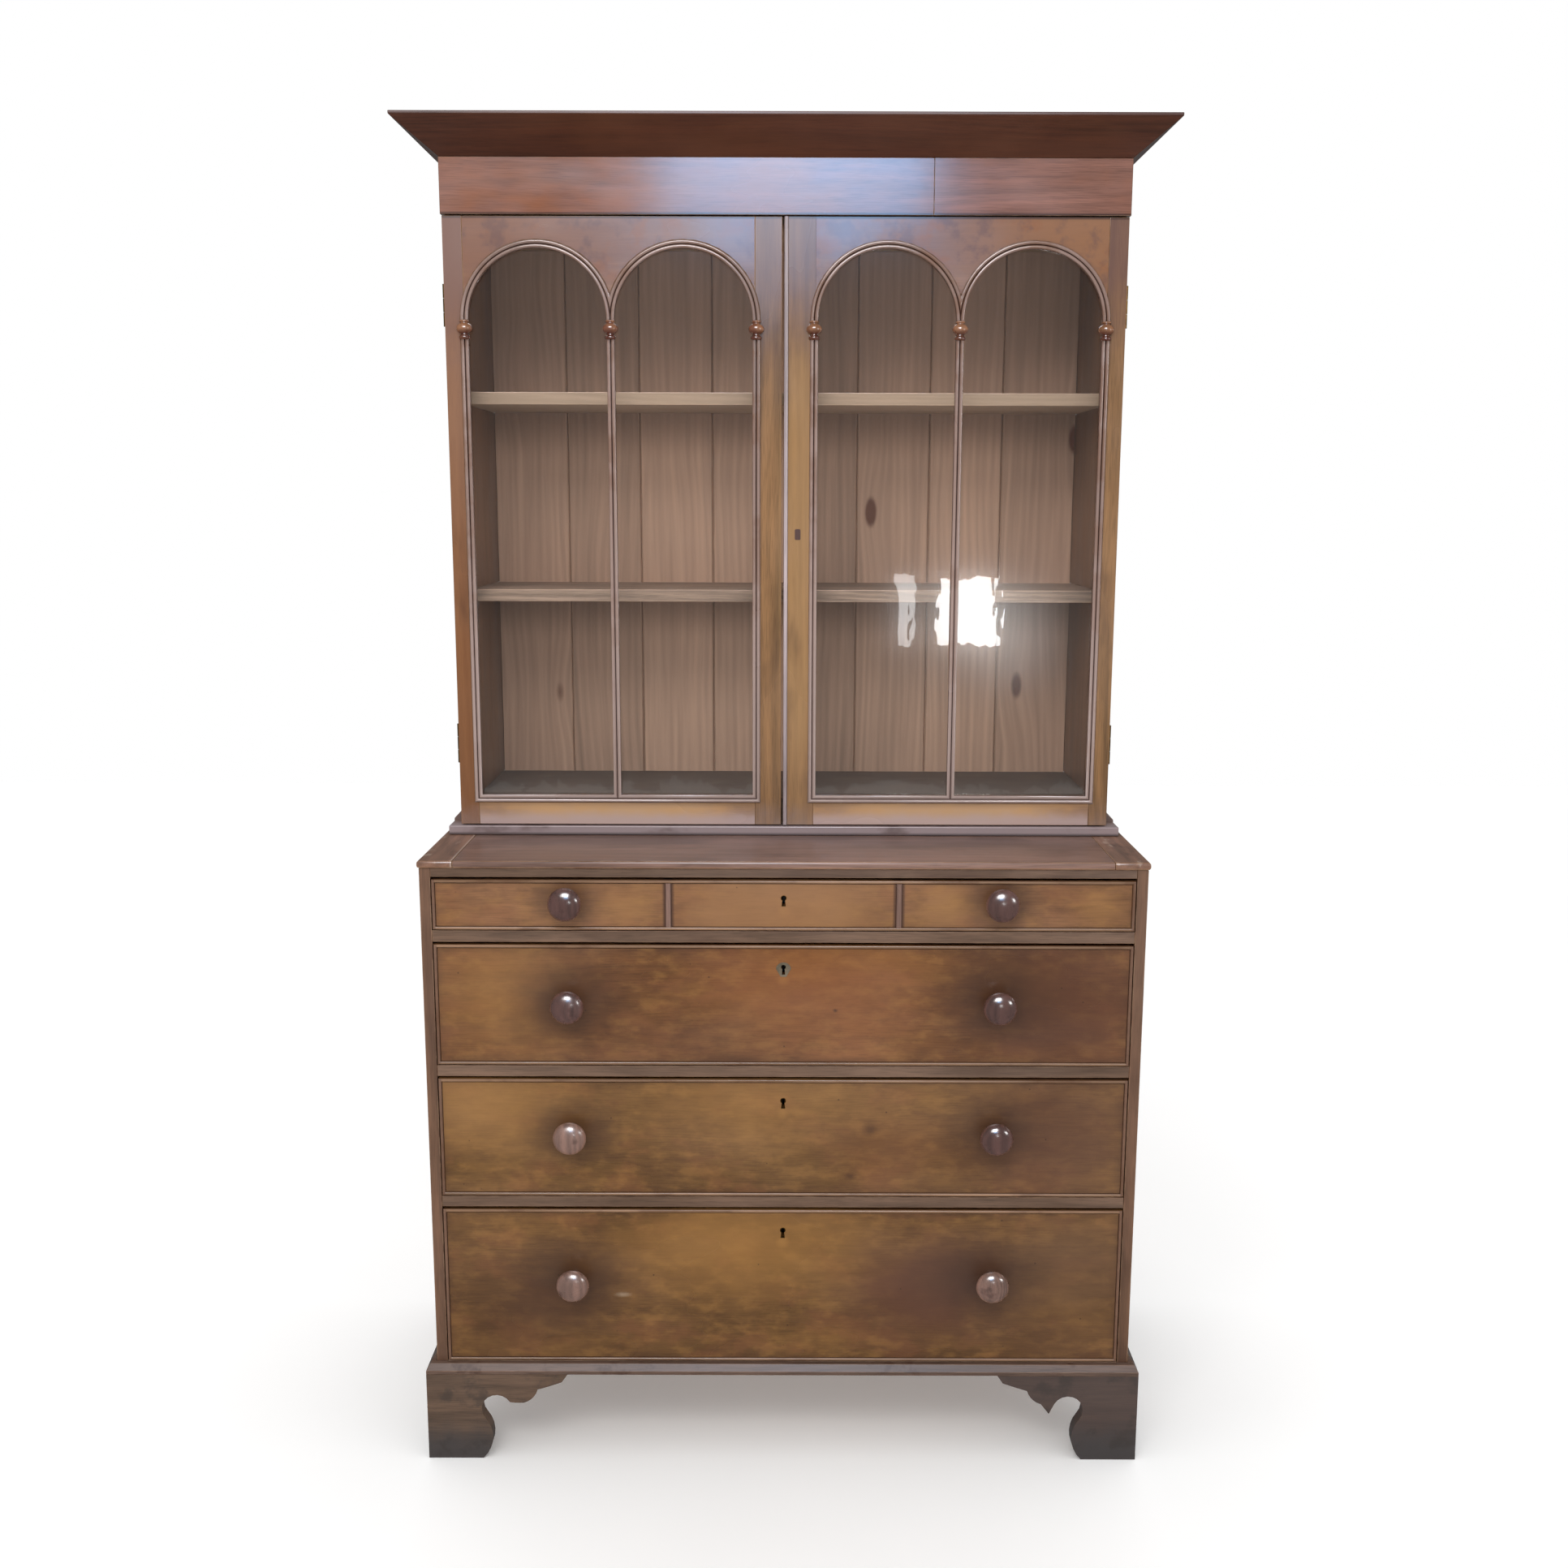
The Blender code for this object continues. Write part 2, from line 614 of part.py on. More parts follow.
def build_mouldings(group):
    base = {
        "side": BASE_PROJECTION,
        "front": BASE_PROJECTION,
        "strip": BASE_STRIP_HEIGHT,
        "face": BASE_FACE_HEIGHT,
        "height": BASE_MOULDING_HEIGHT,
        "land": BASE_TOP_LAND,
    }
    cut_y = CHEST_FRONT_Y
    splayed_moulding(
        "chest_base_moulding", group, CHEST_HALF, CHEST_FRONT_Y, FOOT_HEIGHT, base, cut_y
    )
    waist = {
        "side": WAIST_SIDE_PROJECTION,
        "front": WAIST_FRONT_PROJECTION + CASE_FRONT_Y - SEAT_GAP - DOOR_FRONT_Y,
        "strip": WAIST_STRIP_HEIGHT,
        "face": WAIST_FACE_HEIGHT,
        "height": WAIST_HEIGHT,
        "land": WAIST_TOP_LAND,
    }
    cut_y = CASE_FRONT_Y + WAIST_SWING_RELIEF
    splayed_moulding(
        "bookcase_base_moulding", group, CASE_HALF, CASE_FRONT_Y, LEDGE_Z, waist, cut_y
    )


def arcade_outline(grow):
    """Outline of a pair of round-headed lights with their bars, as (distance from the centre
    line of the bookcase, height), grown outwards by a distance."""
    radius = ARCH_RADIUS + BAR_WIDTH / 2 + grow
    meet = math.acos(ARCH_RADIUS / radius)
    outer_centre = (MIDDLE_BAR_X + ARCH_RADIUS, SPRING_Z)
    inner_centre = (MIDDLE_BAR_X - ARCH_RADIUS, SPRING_Z)
    bottom = DOOR_BOTTOM_Z + BOTTOM_RAIL_HEIGHT - grow
    outline = [
        (INNER_BAR_OFFSET - BAR_WIDTH / 2 - grow, bottom),
        (OUTER_BAR_X + BAR_WIDTH / 2 + grow, bottom),
    ]
    outline += circle_points(outer_centre, radius, 0, math.pi - meet, ARCH_STEPS)
    outline += circle_points(inner_centre, radius, meet, math.pi, ARCH_STEPS)[1:]
    return outline


def light_outline(middle, shrink, low_extra=0.0):
    """Outline of one round-headed light between two bars, drawn in by a distance."""
    radius = ARCH_RADIUS - BAR_WIDTH / 2 - shrink
    bottom = DOOR_BOTTOM_Z + BOTTOM_RAIL_HEIGHT + BAR_WIDTH + shrink + low_extra
    outline = [(middle - radius, bottom), (middle + radius, bottom)]
    return outline + circle_points((middle, SPRING_Z), radius, 0, math.pi, ARCH_STEPS)


def mirror_outline(outline, side):
    return [(side * x, z) for x, z in outline]


def build_door(word, side, hinge):
    """One door: frame with its spandrels, arcade of bars and bosses, and two panes."""
    build_door_frame(word, side, hinge)
    build_arcade(word, side, hinge)
    pane_front = BAR_BACK_Y + SEAT_GAP
    edge = SEAT_GAP - BAR_WIDTH / 2
    for light, offset in (("outer", ARCH_RADIUS), ("inner", -ARCH_RADIUS)):
        outline = light_outline(MIDDLE_BAR_X + offset, edge, low_extra=-BAR_WIDTH / 2)
        body = prism_along_y(
            mirror_outline(outline, side), pane_front, pane_front + PANE_THICKNESS
        )
        add_piece(f"{word}_door_{light}_pane", body, "old_glass", hinge)


def build_door_frame(word, side, hinge):
    meeting = MEETING_OFFSET + side * MEETING_CLEARANCE / 2
    hanging = side * CASE_HALF
    plan = [(meeting, DOOR_BACK_Y), (hanging, DOOR_BACK_Y), (hanging, DOOR_FRONT_Y)]
    if side > 0:
        bead_end = meeting + MEETING_BEAD_WIDTH
        crest = (meeting + MEETING_BEAD_WIDTH / 2, DOOR_FRONT_Y - MEETING_BEAD_PROJECTION)
        plan += arc_through((bead_end, DOOR_FRONT_Y), crest, (meeting, DOOR_FRONT_Y), 6)
    else:
        plan.append((meeting, DOOR_FRONT_Y))
    body = prism_along_z(plan, DOOR_BOTTOM_Z, DOOR_TOP_Z)
    frame = add_piece(f"{word}_door_frame", body, "golden_wood", hinge)
    opening = mirror_outline(arcade_outline(SEAT_GAP), side)
    cutter = prism_along_y(opening, DOOR_FRONT_Y - DOOR_THICKNESS, DOOR_BACK_Y + DOOR_THICKNESS)
    combine(frame, add_helper(f"{word}_door_opening_cutter", cutter, hinge), "DIFFERENCE")


def build_arcade(word, side, hinge):
    """The bars and arches as one rounded lattice, with a half ball on each bar."""
    rounding = BAR_WIDTH * 0.36
    shoulder = (BAR_FRONT_Y + BAR_PROJECTION * 0.25, rounding * 0.45)
    front_half = [(DOOR_FRONT_Y, 0.0), shoulder, (BAR_FRONT_Y, rounding)]

    def rings(outline_at, places):
        return [
            [(x, y, z) for x, z in mirror_outline(outline_at(inset), side)] for y, inset in places
        ]

    body = loft(rings(lambda inset: arcade_outline(-inset), [(BAR_BACK_Y, 0.0), *front_half]))
    arcade = add_piece(f"{word}_door_arcade", body, "red_brown_wood", hinge)

    lights = bmesh.new()
    deep = [(BAR_BACK_Y + BAR_DEPTH, 0.0), *front_half, (BAR_FRONT_Y - BAR_DEPTH, rounding)]
    for middle in (MIDDLE_BAR_X + ARCH_RADIUS, MIDDLE_BAR_X - ARCH_RADIUS):
        loft(rings(lambda inset, x=middle: light_outline(x, -inset), deep), lights)
    combine(arcade, add_helper(f"{word}_door_lights_cutter", lights, hinge), "DIFFERENCE")

    bosses = bmesh.new()
    boss_z = SPRING_Z - BOSS_DROP
    flat_y = DOOR_FRONT_Y - SEAT_GAP
    for x in (INNER_BAR_OFFSET, MIDDLE_BAR_X, OUTER_BAR_X):
        turn(boss_profile(), (side * x, flat_y, boss_z), (0, 0, 1), SMALL_STEPS, bosses)
    boss_shapes = add_helper(f"{word}_door_bosses_shape", bosses, hinge)
    behind = box(
        (-CASE_HALF, flat_y, boss_z - BOSS_HEIGHT),
        (CASE_HALF, flat_y + BOSS_DIAMETER, boss_z + BOSS_HEIGHT),
    )
    combine(boss_shapes, add_helper(f"{word}_door_bosses_cutter", behind, hinge), "DIFFERENCE")
    combine(arcade, boss_shapes, "UNION")


def boss_profile():
    """A flattened ball, as (radius, height) from its foot to its head."""
    ball = circle_points((0, 0), 1.0, -math.pi / 2, math.pi / 2, 6)
    inner = [(r * BOSS_DIAMETER / 2, h * BOSS_HEIGHT / 2) for r, h in ball[1:-1]]
    return [(0, -BOSS_HEIGHT / 2), *inner, (0, BOSS_HEIGHT / 2)]


def build_hinge(name, side, middle_z, case_group, door_group):
    """A butt hinge: the case leaf holds the pin and two knuckles, the door leaf the middle one."""
    axis = (side * HINGE_AXIS_X, HINGE_AXIS_Y)
    low, high = middle_z - LEAF_HEIGHT / 2, middle_z + LEAF_HEIGHT / 2
    third = LEAF_HEIGHT / 3
    radius = KNUCKLE_DIAMETER / 2
    leaf_start = axis[0] - side * radius / 2
    x_low, x_high = sorted((leaf_start, side * (CASE_HALF - LEAF_WIDTH)))

    front = CASE_FRONT_Y - SEAT_GAP - LEAF_THICKNESS
    leaf = box((x_low, front, low), (x_high, front + LEAF_THICKNESS, high))
    case_leaf = add_piece(f"{name}_case_leaf", leaf, "brass", case_group)
    barrel = rod((*axis, low), (0, 0, 1), radius, third, SMALL_STEPS)
    rod((*axis, high - third), (0, 0, 1), radius, third, SMALL_STEPS, barrel)
    combine(case_leaf, add_helper(f"{name}_barrel_shape", barrel, case_group), "UNION")
    middle = knuckle_space(axis, side, middle_z, third)
    combine(case_leaf, add_helper(f"{name}_knuckle_cutter", middle, case_group), "DIFFERENCE")
    pin_overlap = third / 4
    pin = rod(
        (*axis, low + third - pin_overlap),
        (0, 0, 1),
        PIN_DIAMETER / 2,
        third + 2 * pin_overlap,
        SMALL_STEPS,
    )
    combine(case_leaf, add_helper(f"{name}_pin_shape", pin, case_group), "UNION")

    front = DOOR_BACK_Y + SEAT_GAP
    knuckle_low = low + third + KNUCKLE_GAP
    knuckle_length = third - 2 * KNUCKLE_GAP
    leaf = box((x_low, front, low), (x_high, front + LEAF_THICKNESS, high))
    door_leaf = add_piece(f"{name}_door_leaf", leaf, "brass", door_group)
    for end, end_z in (("low", low + third / 2), ("high", high - third / 2)):
        relief = knuckle_space(axis, side, end_z, third)
        helper = add_helper(f"{name}_{end}_relief_cutter", relief, door_group)
        combine(door_leaf, helper, "DIFFERENCE")
    knuckle = rod((*axis, knuckle_low), (0, 0, 1), radius, knuckle_length, SMALL_STEPS)
    combine(door_leaf, add_helper(f"{name}_knuckle_shape", knuckle, door_group), "UNION")
    bore = rod(
        (*axis, knuckle_low - third),
        (0, 0, 1),
        PIN_DIAMETER / 2 + PIN_CLEARANCE,
        knuckle_length + 2 * third,
        SMALL_STEPS,
    )
    combine(door_leaf, add_helper(f"{name}_bore_cutter", bore, door_group), "DIFFERENCE")


def knuckle_space(axis, side, middle_z, third):
    """Room round one knuckle for the other leaf to turn past it."""
    room = KNUCKLE_DIAMETER / 2 + KNUCKLE_GAP
    x_low, x_high = sorted((axis[0] - side * room, axis[0] + side * room))
    height = third / 2 + KNUCKLE_GAP
    return box(
        (x_low, axis[1] - room, middle_z - height),
        (x_high, axis[1] + room, middle_z + height),
    )


def knob_profile():
    """A turned mushroom knob as (radius, height): spigot, foot, neck and domed head."""
    neck, head = KNOB_NECK_DIAMETER / 2, KNOB_DIAMETER / 2
    spigot = SPIGOT_DIAMETER / 2
    rim = KNOB_PROJECTION * 0.60
    dome = circle_points((0, 0), 1.0, 0, math.pi / 2, 5)
    return [
        (0, -DRAWER_FRONT_THICKNESS),
        (spigot, -DRAWER_FRONT_THICKNESS),
        (spigot, SEAT_GAP),
        (neck, SEAT_GAP),
        (neck * 0.84, KNOB_PROJECTION * 0.17),
        (head * 0.80, KNOB_PROJECTION * 0.40),
        *[(head * out, rim + (KNOB_PROJECTION - rim) * up) for out, up in dome[:-1]],
        (0, KNOB_PROJECTION),
    ]


def keyhole_outline(z):
    """A round eye over a slot that widens downwards."""
    eye = KEYHOLE_WIDTH / 2
    eye_z = z + KEYHOLE_HEIGHT / 2 - eye
    foot = z - KEYHOLE_HEIGHT / 2
    outline = [(-eye * 0.75, foot), (eye * 0.75, foot)]
    return outline + circle_points((0, eye_z), eye, -math.pi / 3, math.pi * 4 / 3, 8)


def build_drawer(word, opening_low, opening_height, key_drop, knob_rise, slide):
    low = opening_low + DRAWER_FOOT_CLEARANCE
    high = opening_low + opening_height - DRAWER_HEAD_CLEARANCE
    half = CHEST_INNER_HALF - DRAWER_SIDE_CLEARANCE
    knob_z = (low + high) / 2 + knob_rise
    key_z = high - key_drop
    back = CHEST_FRONT_Y + DRAWER_FRONT_THICKNESS

    front = drawer_front(half, low, high)
    piece = add_piece(f"{word}_drawer_front", front, "golden_wood", slide)
    if word == "top":
        combine(piece, add_helper("mock_dividers_shape", mock_dividers(low, high), slide), "UNION")
    cutter = prism_along_y(
        keyhole_outline(key_z), CHEST_FRONT_Y - KEYHOLE_HEIGHT, back + LOCK_THICKNESS / 2
    )
    for side in (-1, 1):
        start = (side * KNOB_SPACING / 2, back + KNOB_NECK_DIAMETER, knob_z)
        length = DRAWER_FRONT_THICKNESS + 2 * KNOB_NECK_DIAMETER
        rod(start, (0, -1, 0), SPIGOT_DIAMETER / 2 + SEAT_GAP, length, KNOB_STEPS, cutter)
    holes = add_helper(f"{word}_drawer_holes_cutter", cutter, slide)
    combine(piece, holes, "DIFFERENCE")

    for hand, side in (("left", -1), ("right", 1)):
        place = (side * KNOB_SPACING / 2, CHEST_FRONT_Y, knob_z)
        knob = turn(knob_profile(), place, (0, -1, 0), KNOB_STEPS)
        add_piece(f"{word}_drawer_{hand}_knob", knob, "knob_wood", slide, smooth=True)

    lock = box(
        (-LOCK_WIDTH / 2, back + SEAT_GAP, key_z - LOCK_BELOW_KEY),
        (LOCK_WIDTH / 2, back + SEAT_GAP + LOCK_THICKNESS, high - SEAT_GAP),
    )
    combine(add_piece(f"{word}_drawer_lock", lock, "iron", slide), holes, "DIFFERENCE")
    build_drawer_box(word, opening_low + SEAT_GAP, high - DRAWER_BOX_DROP, half, slide)


def drawer_front(half, low, high):
    """A board whose face is framed by a rounded cockbead."""
    back = CHEST_FRONT_Y + DRAWER_FRONT_THICKNESS
    bm = box((-half, CHEST_FRONT_Y, low), (half, back, high))
    bm.normal_update()
    face = min(bm.faces, key=lambda each: each.normal.y)
    for rise in (0.75, 0.25, -0.25, -0.75):
        bmesh.ops.inset_individual(
            bm,
            faces=[face],
            thickness=COCKBEAD_WIDTH / 4,
            depth=rise * COCKBEAD_PROJECTION,
            use_even_offset=True,
        )
    return bm


def mock_dividers(low, high):
    """Two upright half-round strips that make one long drawer look like three."""
    bm = bmesh.new()
    half = MOCK_DIVIDER_WIDTH / 2
    root = CHEST_FRONT_Y + MOCK_DIVIDER_PROJECTION
    for x in (-MOCK_DIVIDER_OFFSET, MOCK_DIVIDER_OFFSET):
        crest = (x, CHEST_FRONT_Y - MOCK_DIVIDER_PROJECTION)
        plan = [(x - half, root), (x + half, root)]
        plan += arc_through((x + half, CHEST_FRONT_Y), crest, (x - half, CHEST_FRONT_Y), 6)
        foot = low + COCKBEAD_WIDTH / 2
        points = [(px, py, foot) for px, py in plan]
        extrude_outline(bm, points, (0, 0, high - low - COCKBEAD_WIDTH))
    return bm


def build_drawer_box(word, low, high, half, slide):
    """Sides, back and floor, glued up as one tray that is open to the drawer front."""
    front = CHEST_FRONT_Y + DRAWER_FRONT_THICKNESS + SEAT_GAP
    back = CHEST_INSIDE_BACK_Y - DRAWER_BACK_SPACE
    tray = add_piece(
        f"{word}_drawer_box", box((-half, front, low), (half, back, high)), "pine", slide
    )
    wall = DRAWER_WALL_THICKNESS
    space = box(
        (-half + wall, front - wall, low + DRAWER_FLOOR_THICKNESS),
        (half - wall, back - wall, high + wall),
    )
    combine(tray, add_helper(f"{word}_drawer_space_cutter", space, slide), "DIFFERENCE")


def build_all():
    carcass = add_empty("carcass", (0, 0, 0))
    build_chest_carcass(carcass)
    build_feet(carcass)
    build_bookcase_shell(carcass)
    build_frieze_and_cornice(carcass)
    build_mouldings(carcass)

    for word, side in (("left", -1), ("right", 1)):
        place = (side * HINGE_AXIS_X, HINGE_AXIS_Y, DOOR_BOTTOM_Z)
        hinge = add_empty(f"{word}_door_hinge", place, carcass)
        build_door(word, side, hinge)
        for level, z in (
            ("lower", DOOR_BOTTOM_Z + HINGE_INSET),
            ("upper", DOOR_TOP_Z - HINGE_INSET),
        ):
            build_hinge(f"{word}_{level}_hinge", side, z, carcass, hinge)

    drawers = (
        ("bottom", KEY_DROP, BOTTOM_KNOB_RISE),
        ("lower", KEY_DROP, LOWER_KNOB_RISE),
        ("upper", KEY_DROP, UPPER_KNOB_RISE),
        ("top", TOP_DRAWER_KEY_DROP, TOP_KNOB_RISE),
    )
    for (word, *places), low, height in zip(drawers, OPENING_FLOORS, OPENING_HEIGHTS):
        slide = add_empty(f"{word}_drawer_slide", (0, CHEST_FRONT_Y, low), carcass)
        build_drawer(word, low, height, *places, slide)


build_all()
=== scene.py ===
# %% [markdown]
# # A glazed bookcase standing on a chest of drawers
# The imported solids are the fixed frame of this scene: metres, +Z up, the front towards -Y.
# Plain boards keep their solid and get worn edges and a wood finish. Turned, moulded and
# jointed pieces are modelled again, finer, and ride on the same bodies.

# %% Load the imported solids
import json
import math

import bmesh
import bpy
from mathutils import Matrix, Vector

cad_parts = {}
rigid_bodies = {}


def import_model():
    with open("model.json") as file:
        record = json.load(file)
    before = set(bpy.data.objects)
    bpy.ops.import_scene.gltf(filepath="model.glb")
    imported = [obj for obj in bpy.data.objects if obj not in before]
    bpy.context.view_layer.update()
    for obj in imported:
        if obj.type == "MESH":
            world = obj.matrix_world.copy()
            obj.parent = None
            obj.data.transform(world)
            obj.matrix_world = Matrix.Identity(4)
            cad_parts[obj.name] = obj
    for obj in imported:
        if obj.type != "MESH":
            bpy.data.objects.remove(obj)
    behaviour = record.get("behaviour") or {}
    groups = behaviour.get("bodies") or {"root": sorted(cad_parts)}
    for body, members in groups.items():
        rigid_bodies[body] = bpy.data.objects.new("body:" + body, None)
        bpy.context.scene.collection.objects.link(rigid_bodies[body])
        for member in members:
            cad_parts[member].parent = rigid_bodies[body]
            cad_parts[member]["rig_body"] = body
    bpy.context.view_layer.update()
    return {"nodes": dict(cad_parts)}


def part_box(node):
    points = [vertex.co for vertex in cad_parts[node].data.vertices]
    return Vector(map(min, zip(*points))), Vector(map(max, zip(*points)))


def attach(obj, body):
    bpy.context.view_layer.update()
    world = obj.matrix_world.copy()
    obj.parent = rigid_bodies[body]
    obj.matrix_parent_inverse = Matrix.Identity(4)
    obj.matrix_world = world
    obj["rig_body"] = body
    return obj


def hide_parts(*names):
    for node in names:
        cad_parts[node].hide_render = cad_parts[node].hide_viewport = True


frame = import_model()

scene = bpy.context.scene

# %% [markdown]
# ## Camera
# The photograph was taken from a little above the middle of the piece, tilted down. A camera
# can be aimed with a constraint, but a written matrix also holds the small roll that the
# photograph has: first the tilt about X, then the roll about the camera's own line of sight.

# %% Camera
CAMERA_PLACE = (0.0, -2.5734, 1.5209)
CAMERA_TILT = math.radians(79.94)
CAMERA_ROLL = math.radians(0.16)
CAMERA_LENS, SENSOR_WIDTH = 36.335, 36.0

camera = bpy.data.objects.new("front_camera", bpy.data.cameras.new("front_camera"))
camera.data.lens, camera.data.sensor_width = CAMERA_LENS, SENSOR_WIDTH
camera.matrix_world = (
    Matrix.Translation(CAMERA_PLACE)
    @ Matrix.Rotation(CAMERA_TILT, 4, "X")
    @ Matrix.Rotation(CAMERA_ROLL, 4, "Z")
)
scene.collection.objects.link(camera)
scene.camera = camera
print("camera at", CAMERA_PLACE)

# %% [markdown]
# ## Studio
# A pale floor under a white surround, lit by one large soft lamp from above. The surround
# lights the wood well but is dim in reflections, so that dark polish keeps its depth. What
# is seen straight, or straight through a pane, gets the full white, and the Light Path node
# tells these rays apart.

# %% Surround
WORLD_LIGHT, WORLD_GLOSS = 1.0, 0.14
FIRST_BOUNCE = 0.5


def plug(tree, socket, value):
    """Give a socket a constant, or link it to the socket that feeds it."""
    if isinstance(value, bpy.types.NodeSocket):
        tree.links.new(value, socket)
    else:
        socket.default_value = value


def add_node(tree, kind, inputs, **settings):
    """A node with its settings and inputs in one call."""
    node = tree.nodes.new(kind)
    for key, value in settings.items():
        setattr(node, key, value)
    for key, value in inputs.items():
        plug(tree, node.inputs[key], value)
    return node


world = bpy.data.worlds.new("white_surround")
scene.world = world
world.use_nodes = True
scene.view_settings.view_transform = "Standard"


def surround(kind, *inputs, **settings):
    """A node of the surround; its inputs are given as pairs of a number and a value."""
    return add_node(world.node_tree, kind, dict(inputs), **settings).outputs[0]


ray = world.node_tree.nodes.new("ShaderNodeLightPath").outputs
level = surround("ShaderNodeMix", (0, ray["Is Glossy Ray"]), (2, WORLD_LIGHT), (3, WORLD_GLOSS))
unbent = surround(
    "ShaderNodeMath", (0, ray["Glossy Depth"]), (1, FIRST_BOUNCE), operation="LESS_THAN"
)
through = surround(
    "ShaderNodeMath", (0, ray["Is Transmission Ray"]), (1, unbent), operation="MULTIPLY"
)
seen = surround("ShaderNodeMath", (0, ray["Is Camera Ray"]), (1, through), operation="MAXIMUM")
to_eye = surround("ShaderNodeMix", (0, seen), (2, level), (3, WORLD_LIGHT))
bright = world.node_tree.nodes["Background"]
bright.inputs["Color"].default_value = (1, 1, 1, 1)
plug(world.node_tree, bright.inputs["Strength"], to_eye)
print("surround:", len(world.node_tree.nodes), "nodes")

# %% [markdown]
# ## Lamps
# An area lamp can be large and soft, as a window is. The first one lights the wood. The other
# panels show only as reflections, so they brighten nothing else: a cool one gives the frieze
# its sheen, two put the spark on the knobs, and two glint in the glass.

# %% Lamps
WHITE, WARM = (1, 1, 1), (1.0, 0.97, 0.93)
COOL, ROSE = (0.2, 0.55, 1.0), (1, 0.97, 1)


def add_lamp(name, place, target, size, radiance, colour=WHITE, glint_only=True):
    """A rectangular lamp of even brightness; a glint lamp shows in reflections alone."""
    data = bpy.data.lights.new(name, "AREA")
    data.shape = "RECTANGLE"
    data.size, data.size_y = size
    data.energy = radiance * math.pi * size[0] * size[1]
    data.color = colour
    lamp = bpy.data.objects.new(name, data)
    lamp.location = place
    aim = Vector(target) - Vector(place)
    lamp.rotation_euler = aim.to_track_quat("-Z", "Y").to_euler()
    lamp.visible_camera = False
    lamp.visible_diffuse = not glint_only
    lamp.visible_transmission = not glint_only
    scene.collection.objects.link(lamp)


add_lamp("key_lamp", (-0.9, -3.6, 3.95), (0, 0, 1.0), (2.4, 1.2), 4.5, WARM, glint_only=False)
add_lamp("sheen_lamp", (0.04, -3.4, 2.71), (0.04, 0, 2.0), (0.95, 0.40), 14.0, COOL)
add_lamp("knob_glint", (-0.15, -2.7, 3.5), (0, -0.2, 0.7), (1.7, 1.3), 22, ROSE)
add_lamp("knob_spark", (3.0, -1.7, 1.9), (0, -0.3, 0.7), (0.7, 0.7), 16)
add_lamp("wide_glint", (0.605, -2.75, 1.17), (0.3, 0, 1.35), (0.19, 0.22), 19)
add_lamp("thin_glint", (0.40, -2.75, 1.17), (0.2, 0, 1.35), (0.07, 0.23), 9)

# %% [markdown]
# ## Node helper
# Every finish here is a small tree of shader nodes. Writing each node and link by hand would
# bury the idea, so this class adds a node in one short call and hands its socket on.
# Patterns read Object coordinates, which are the same metres as the frame.

# %% Node helper


def tint(red, green, blue):
    """A screen colour of 0 to 255 as the linear colour that a shader takes."""
    line = [c / 255 for c in (red, green, blue)]
    return (*[c / 12.92 if c < 0.04045 else ((c + 0.055) / 1.055) ** 2.4 for c in line], 1.0)


def shades(red, green, blue, spread=0.26):
    """Dark, middle and light tone of one wood."""
    return [
        tint(*[c * (1 + step * spread) for c in (red, green, blue)]) for step in (-1, 0, 0.8)
    ]


class Finish:
    """One material being made. Values and sockets may be given alike."""

    def __init__(self, name):
        self.material = bpy.data.materials.new(name)
        self.material.use_nodes = True
        self.tree = self.material.node_tree
        self.shader = self.tree.nodes["Principled BSDF"]
        place = self.add("ShaderNodeTexCoord")
        self.place, self.normal = place.outputs["Object"], place.outputs["Normal"]
        self.x, self.y, self.z = self.split(self.place)

    def add(self, kind, inputs=None, **settings):
        return add_node(self.tree, kind, inputs or {}, **settings)

    def split(self, vector):
        return self.add("ShaderNodeSeparateXYZ", {0: vector}).outputs[:3]

    def join(self, x, y, z):
        return self.add("ShaderNodeCombineXYZ", {0: x, 1: y, 2: z}).outputs[0]

    def math(self, operation, first, second=0.0, third=0.5):
        made = self.add("ShaderNodeMath", {0: first, 1: second, 2: third}, operation=operation)
        return made.outputs[0]

    def plus(self, first, second):
        return self.math("ADD", first, second)

    def minus(self, first, second):
        return self.math("SUBTRACT", first, second)

    def times(self, first, second):
        return self.math("MULTIPLY", first, second)

    def vector(self, operation, first, second):
        made = self.add("ShaderNodeVectorMath", {0: first, 1: second}, operation=operation)
        return made.outputs["Value" if operation == "DISTANCE" else "Vector"]

    def stretch(self, vector, scale, shift=(0, 0, 0)):
        made = self.add("ShaderNodeMapping", {"Vector": vector, "Scale": scale, "Location": shift})
        return made.outputs[0]

    def noise(self, vector, scale=1.0, detail=2.0, roughness=0.5, output=0):
        inputs = {"Vector": vector, "Scale": scale, "Detail": detail, "Roughness": roughness}
        return self.add("ShaderNodeTexNoise", inputs).outputs[output]

    def smooth(self, value, start, end, low=0.0, high=1.0):
        inputs = {"Value": value, 1: start, 2: end, 3: low, 4: high}
        made = self.add("ShaderNodeMapRange", inputs, interpolation_type="SMOOTHSTEP")
        return made.outputs[0]

    def ramp(self, value, stops):
        made = self.add("ShaderNodeValToRGB", {0: value})
        points = made.color_ramp.elements
        while len(points) < len(stops):
            points.new(1.0)
        for point, (position, colour) in zip(points, stops):
            point.position, point.color = position, colour
        return made.outputs[0]

    def mix(self, share, first, second, blend="MIX"):
        inputs = {0: share, 6: first, 7: second}
        return self.add("ShaderNodeMix", inputs, data_type="RGBA", blend_type=blend).outputs[2]

    def set(self, **values):
        """Give the shader its inputs; a name's underscores stand for spaces."""
        for key, value in values.items():
            plug(self.tree, self.shader.inputs[key.replace("_", " ")], value)

    def bump(self, height, distance, strength):
        inputs = {"Height": height, "Distance": distance, "Strength": strength}
        self.set(Normal=self.add("ShaderNodeBump", inputs).outputs[0])


print("node helper ready")

